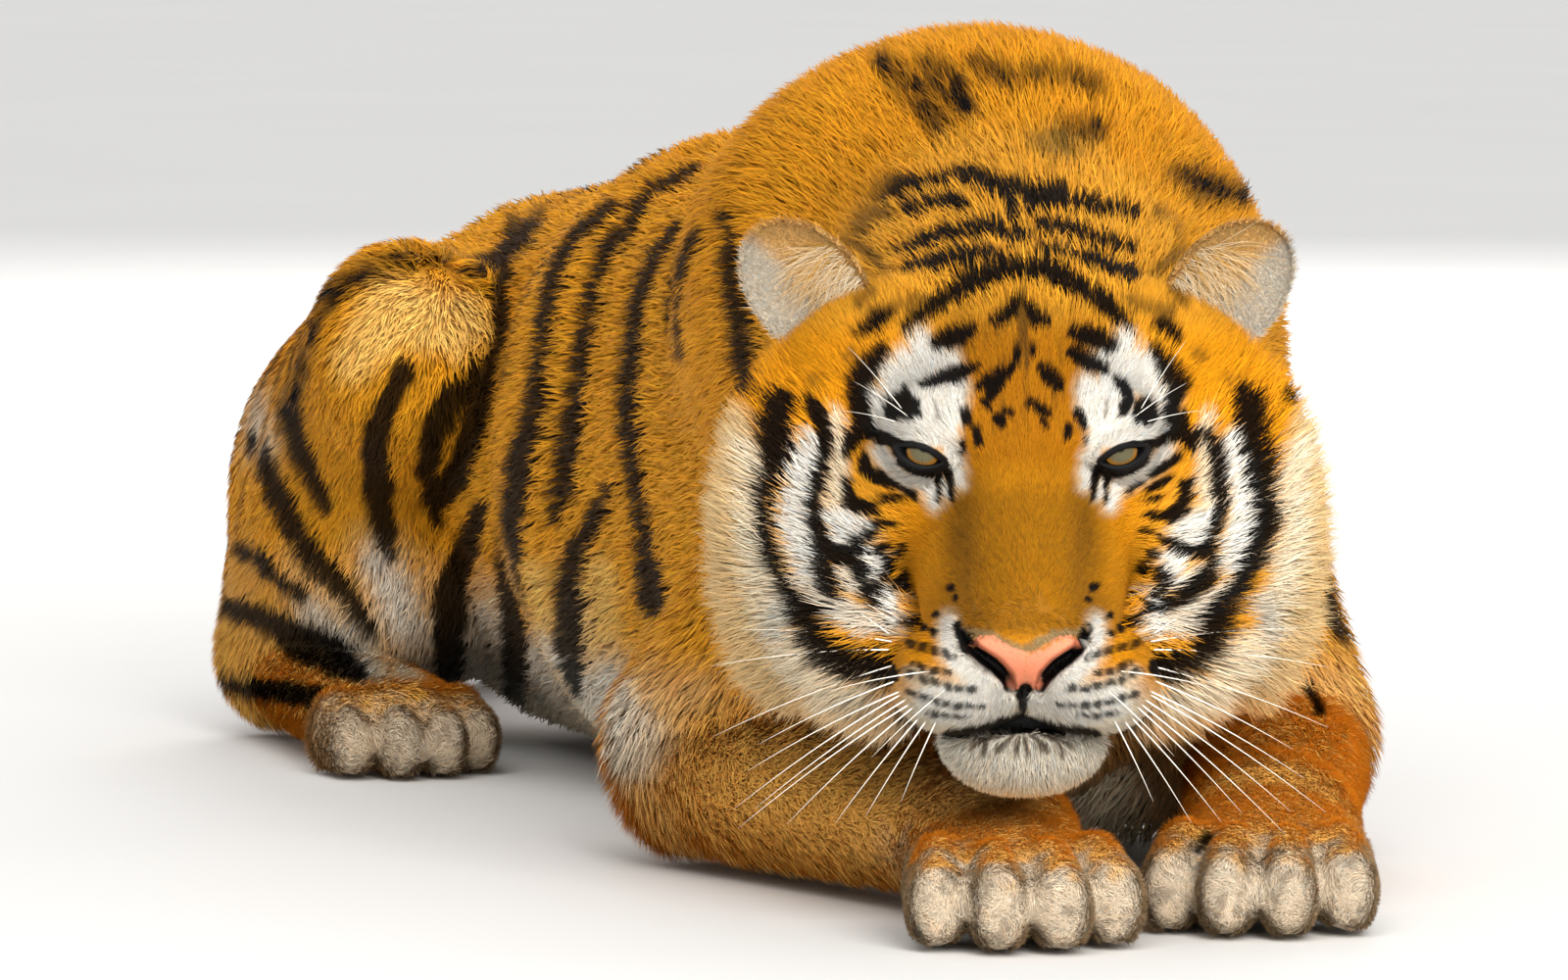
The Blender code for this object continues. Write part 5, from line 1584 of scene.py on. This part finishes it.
def makeLidRims(material):
    # A smooth black margin round each opening: a small ring swept along its edge, where lid and globe meet
    path = lidPath()
    globe = eyeCentre()
    off = path - globe[:2]
    depth = np.sqrt(np.maximum(lidRim["reach"] ** 2 - (off ** 2).sum(1), 1.0))
    centre = np.concatenate((path, (globe[2] + depth)[:, None]), 1)
    run = np.roll(centre, -1, 0) - np.roll(centre, 1, 0)
    run /= np.linalg.norm(run, axis=1, keepdims=True)
    out = centre - globe
    out -= run * (out * run).sum(1, keepdims=True)
    out /= np.linalg.norm(out, axis=1, keepdims=True)
    side = np.cross(run, out)
    a = np.linspace(0.0, 2.0 * math.pi, lidRim["round"], endpoint=False)[None, :, None]
    ring = out[:, None] * np.cos(a) * 1.3 + side[:, None] * np.sin(a)
    grid = (centre[:, None] + ring * lidRim["thick"]).reshape(-1, 3)
    quads = gridQuads(len(path), lidRim["round"], True)[:, [0, 3, 2, 1]]
    points, faces = [], []
    for _, s in sides:
        faces += ((quads if s > 0 else quads[:, ::-1]) + len(points)).tolist()
        points += (between + (grid * (s, 1, 1)) / 1000.0 @ headRows + shift).tolist()
    mesh = bpy.data.meshes.new("lid_rims")
    mesh.from_pydata(points, [], faces)
    storeColour(mesh, "pigment", np.repeat(inks["lip"][None], len(points), 0))
    storeWet(mesh, np.full(len(points), lidRim["wet"]))
    mesh.shade_smooth()
    addPiece("lid_rims", mesh, material)


def eyeMaterial():
    # A wet cornea over iris and pupil: a clear smooth coat over pigment, with fine fibres
    material, tree, shader = newMaterial("wet cornea")
    place = addNode(tree, "ShaderNodeTexCoord")
    onEye = {"Vector": (place, "Object")}
    grain = addNode(tree, "ShaderNodeTexNoise", {"Scale": 1500.0, "Detail": 2.0}, onEye)
    tintBase(tree, shader, grain, {"To Min": 0.8, "To Max": 1.2})
    setSockets(shader, {"Roughness": 0.25, "IOR": 1.38, "Specular IOR Level": 0.25})
    setSockets(shader, {"Coat Weight": 0.3, "Coat Roughness": 0.03})
    return material


# Whiskers on one side: root (x, v), angle above level in degrees and length, in mm
whiskers = {
    "hairs": (
        (82, -107, 36, 92), (80, -112, 8, 100), (82, -117, 1, 104), (80, -127, -14, 110),
        (78, -134, -22, 90), (75, -140, -22, 106), (75, -142, -29, 120), (72, -145, -32, 108),
        (70, -148, -35, 118), (68, -150, -40, 92), (64, -156, -47, 82), (60, -158, -56, 70),
        (54, -158, -62, 50), (58, -128, -6, 60), (50, -140, -40, 56),
        (70, 27, 38, 44), (74, 32, 56, 58), (78, 24, 16, 36),
    ),
    "radius": 0.55, "brow": 0.55,  # and how thick those of the brow are beside the others
    "rings": 12, "round": 5,
    "dim": "#E8DFC8", "light": "#FBF7EE",
}


def whiskerPath(s, x, v, angle, length):
    # From the skin outwards at the angle, plus a sag that grows with the square of the way along
    a = math.radians(angle)
    probe = np.array([face(s * x, v, w) for w in np.linspace(110, -80, 200)])
    start = toHead(probe[np.argmax(survey(probe)[0] < -0.002)][None])[0]
    steps = np.linspace(0.0, 1.0, whiskers["rings"])[:, None]
    bend = np.array((math.cos(a) * s, math.sin(a), -0.32)) * length
    sag = np.array((0.0, -0.10 * length, -0.18 * length))
    return start + steps * bend + steps ** 2 * sag


def makeWhiskers(material):
    # Tapered tubes from the pads and brows, which sweep outwards, back and a little down
    rng = np.random.default_rng(7)
    n, m = whiskers["round"], whiskers["rings"]
    taper = 1.0 - 0.85 * np.linspace(0.0, 1.0, m)
    turn = np.linspace(0.0, 2.0 * math.pi, n, endpoint=False)[None, :, None]
    quads = gridQuads(m, n)
    allPoints, allFaces = [], []
    for _, s in sides:
        for x, v, angle, length in whiskers["hairs"]:
            angle = angle + rng.uniform(-3, 3)
            path = whiskerPath(s, x, v, angle, length * rng.uniform(0.92, 1.08))
            tangent = np.gradient(path, axis=0)
            tangent /= np.linalg.norm(tangent, axis=1, keepdims=True)
            across = np.cross(tangent, (0.0, 0.3, 1.0))
            across /= np.linalg.norm(across, axis=1, keepdims=True)
            other = np.cross(tangent, across)
            size = whiskers["radius"] * (whiskers["brow"] if v > 0 else 1.0) * taper[:, None, None]
            ring = path[:, None] + size * (across[:, None] * np.cos(turn) + other[:, None] * np.sin(turn))
            base = len(allPoints) * m * n
            caps = [list(range(base, base + n))[::-1], list(range(base + (m - 1) * n, base + m * n))]
            allPoints.append(between + ring.reshape(-1, 3) / 1000.0 @ headRows)
            allFaces += (quads + base).tolist() + caps
    mesh = bpy.data.meshes.new("whiskers")
    points = np.concatenate(allPoints)
    points[:, 2] = np.maximum(points[:, 2], 0.002)
    mesh.from_pydata((points + shift).tolist(), [], allFaces)
    faceOutwards(mesh)
    mesh.shade_smooth()
    addPiece("whiskers", mesh, material)


# Long hairs that sweep across each ear from its inner edge, in mm
earHairs = {"count": 620, "length": 32.0, "lift": 9.0, "width": 0.42, "levels": 6}


def makeEarHairs(material):
    # Thin curved ribbons rooted on the cup's inner half: out across the ear, rising, then bending over
    rng = np.random.default_rng(17)
    n, levels = earHairs["count"], np.linspace(0.0, 1.0, earHairs["levels"])
    m = len(levels)
    root = inks["gold"] * 0.7
    allPoints, allColours = [], []
    for _, s in sides:
        u, v = rng.uniform(-33.0, -8.0, n) * s, rng.uniform(-40.0, 22.0, n)
        v = v * np.sqrt(np.clip(1.0 - (u / ear["wide"]) ** 2, 0.05, 1.0))
        reach = np.hypot(u / ear["wide"], v / ear["tall"])
        hollow = (ear["rimDepth"] + ear["cup"]) * np.sqrt(np.clip(1.0 - reach ** 2, 0.0, 1.0))
        start = np.stack((u, v, ear["rimDepth"] - hollow), 1)
        angle = rng.normal(0.35, 0.35, n) + v * 0.012
        length = (earHairs["length"] * rng.uniform(0.5, 1.15, n))[:, None, None]
        way = np.stack((np.cos(angle) * s, np.sin(angle), np.zeros(n)), 1)[:, None]
        cross = np.stack((-np.sin(angle) * s, np.cos(angle), np.zeros(n)), 1)[:, None]
        t = levels[None, :, None]
        curl = (-0.55 + 0.012 * v + rng.normal(0.0, 0.28, n))[:, None, None]
        path = start[:, None] + way * length * t + cross * curl * length * t ** 2
        path[..., 2] += earHairs["lift"] * rng.uniform(0.4, 1.2, n)[:, None] * np.sin(levels * 2.2)[None]
        edge = cross * (earHairs["width"] * (1.0 - 0.9 * levels)[None, :, None] * 0.5)
        grid = np.stack((path - edge, path + edge), 2).reshape(-1, 3) / 1000.0
        x, up, out = ear["centre"]
        allPoints.append(face(s * x, up, out) + grid @ earRows(s))
        pale = np.clip(rng.uniform(-0.1, 1.0, n) - 0.010 * v, 0.0, 1.0)[:, None]
        tone = root + (inks["cream"] - root) * pale
        # painted shade: each hair darker towards its root
        shade = (0.6 + 0.5 * levels)[None, :, None, None]
        allColours.append(np.broadcast_to(tone[:, None, None] * shade, (n, m, 2, 3)).reshape(-1, 3))
    ladder = np.array([(2 * i, 2 * i + 1, 2 * i + 3, 2 * i + 2) for i in range(m - 1)])[None]
    quads = (np.arange(2 * n)[:, None, None] * m * 2 + ladder).reshape(-1, 4)
    mesh = bpy.data.meshes.new("ear_hairs")
    points = np.concatenate(allPoints)
    mesh.from_pydata((points + shift).tolist(), [], quads.tolist())
    storeColour(mesh, "pigment", np.concatenate(allColours))
    storeStrand(mesh, np.arange(len(points))[:, None] * (0.13, 0.0, 0.0))
    mesh.shade_smooth()
    addPiece("ear_hairs", mesh, material)


def whiskerMaterial():
    # Stiff keratin whisker: almost white and smooth, with faint lengthwise shading
    material, tree, shader = newMaterial("keratin whisker")
    place = addNode(tree, "ShaderNodeTexCoord")
    grain = addNode(tree, "ShaderNodeTexNoise", {"Scale": 120.0}, {"Vector": (place, "Object")})
    blended = addNode(tree, "ShaderNodeMix", {"data_type": "RGBA"}, {0: (grain, "Fac")})
    blended.inputs[6].default_value = (*toLinear(whiskers["dim"]), 1.0)
    blended.inputs[7].default_value = (*toLinear(whiskers["light"]), 1.0)
    tree.links.new(blended.outputs[2], shader.inputs["Base Color"])
    setSockets(shader, {"Roughness": 0.35})
    return material


stage = {
    "floor": 80.0, "floorColour": "#CFCDC9", "air": "#F2F4F8", "airStrength": 0.85,
    "sun": (46.0, -28.0, 1.65, 40.0),  # the soft key's height and turn in degrees, its strength and spread
    # each lamp: place, size and power, and what all of them face
    "lamps": (("front", (-0.5, -4.8, 1.9), 2.2, 250.0), ("rear", (2.5, 5.0, 3.5), 4.0, 230.0)),
    "aim": (0.0, 0.0, 0.25),
}


def makeFloor():
    # A pale floor that runs on behind the animal, faintly clouded
    mesh = bpy.data.meshes.new("floor")
    h = stage["floor"]
    mesh.from_pydata([(-h, -h, 0.0), (h, -h, 0.0), (h, h, 0.0), (-h, h, 0.0)], [], [(0, 1, 2, 3)])
    floor = addObject("floor", mesh)
    material, tree, shader = newMaterial("pale sealed plaster")
    place = addNode(tree, "ShaderNodeTexCoord")
    onFloor = {"Vector": (place, "Object")}
    cloud = addNode(tree, "ShaderNodeTexNoise", {"Scale": 1.5, "Detail": 6.0}, onFloor)
    tone = addNode(tree, "ShaderNodeValToRGB", None, {"Fac": (cloud, "Fac")})
    base = toLinear(stage["floorColour"])
    tone.color_ramp.elements[0].color = (*(base * 0.97), 1.0)
    tone.color_ramp.elements[1].color = (*np.minimum(base * 1.03, 1.0), 1.0)
    tree.links.new(tone.outputs[0], shader.inputs["Base Color"])
    setSockets(shader, {"Roughness": 0.85})
    mesh.materials.append(material)


def makeLights():
    # Soft even daylight: bright air all round, a broad sun from high on one side, and two large lamps
    world = bpy.data.worlds.new("air")
    bpy.context.scene.world = world
    world.use_nodes = True
    back = world.node_tree.nodes["Background"]
    back.inputs["Color"].default_value = (*toLinear(stage["air"]), 1.0)
    back.inputs["Strength"].default_value = stage["airStrength"]
    height, turn, strength, spread = stage["sun"]
    data = bpy.data.lights.new("key", "SUN")
    data.energy, data.angle = strength, math.radians(spread)
    addObject("key", data).rotation_euler = (math.radians(90.0 - height), 0.0, math.radians(turn))
    for name, place, size, power in stage["lamps"]:
        data = bpy.data.lights.new(name, "AREA")
        data.shape, data.size, data.energy = "DISK", size, power
        lamp = addObject(name, data)
        lamp.visible_glossy = False
        lamp.location = place
        aim = Vector(stage["aim"]) - Vector(place)
        lamp.rotation_euler = aim.to_track_quat("-Z", "Y").to_euler()


# The view's focal length, its width and how far below level its middle looks, all in the same small units
camera = {"lens": 10000.0, "width": 1600.0, "drop": 780.0, "sensor": 36.0}


def makeCamera():
    # A long lens, low, looking a little down on the animal from in front of its right shoulder
    place, _, ahead = sightLine()
    pitch = math.atan(camera["drop"] / camera["lens"])
    look = ahead * math.cos(pitch) - np.array((0.0, 0.0, math.sin(pitch)))
    data = bpy.data.cameras.new("camera")
    data.sensor_width = camera["sensor"]
    data.lens = camera["sensor"] * camera["lens"] / math.cos(pitch) / camera["width"]
    data.clip_end = 300.0
    made = addObject("camera", data)
    made.location = place + shift
    made.rotation_euler = Vector(look).to_track_quat("-Z", "Y").to_euler()
    bpy.context.scene.camera = made
    bpy.context.scene.view_settings.view_transform = "Standard"
    say("floor, lights and camera made")


def main():
    makeFloor()
    makeLights()
    makeCamera()
    hide, hair = skinMaterial(), hairMaterial()
    mesh = makeSkin()
    points, corners, flags = finishSkin(mesh)
    piece = addPiece("skin", mesh, hide)
    unwrap(piece)
    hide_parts(*[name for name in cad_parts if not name.startswith("eye_")])
    tufts = placeTufts(mesh, points, corners, flags)
    mesh.transform(Matrix.Translation(shift))
    layCoat(tufts)
    bare = np.maximum.reduce(bareMask(toHead(tufts["root"]))) > 0.5
    onEar = tufts["ear"] != 0
    growCoat(keep(tufts, np.where(onEar, tufts["whole"] >= -0.002, ~bare)), hair)
    cornea = eyeMaterial()
    for side, s in sides:
        makeEye(side, s, cornea)
    makeLidRims(hide)
    makeEarHairs(hair)
    makeWhiskers(whiskerMaterial())
    say("all pieces made")


main()
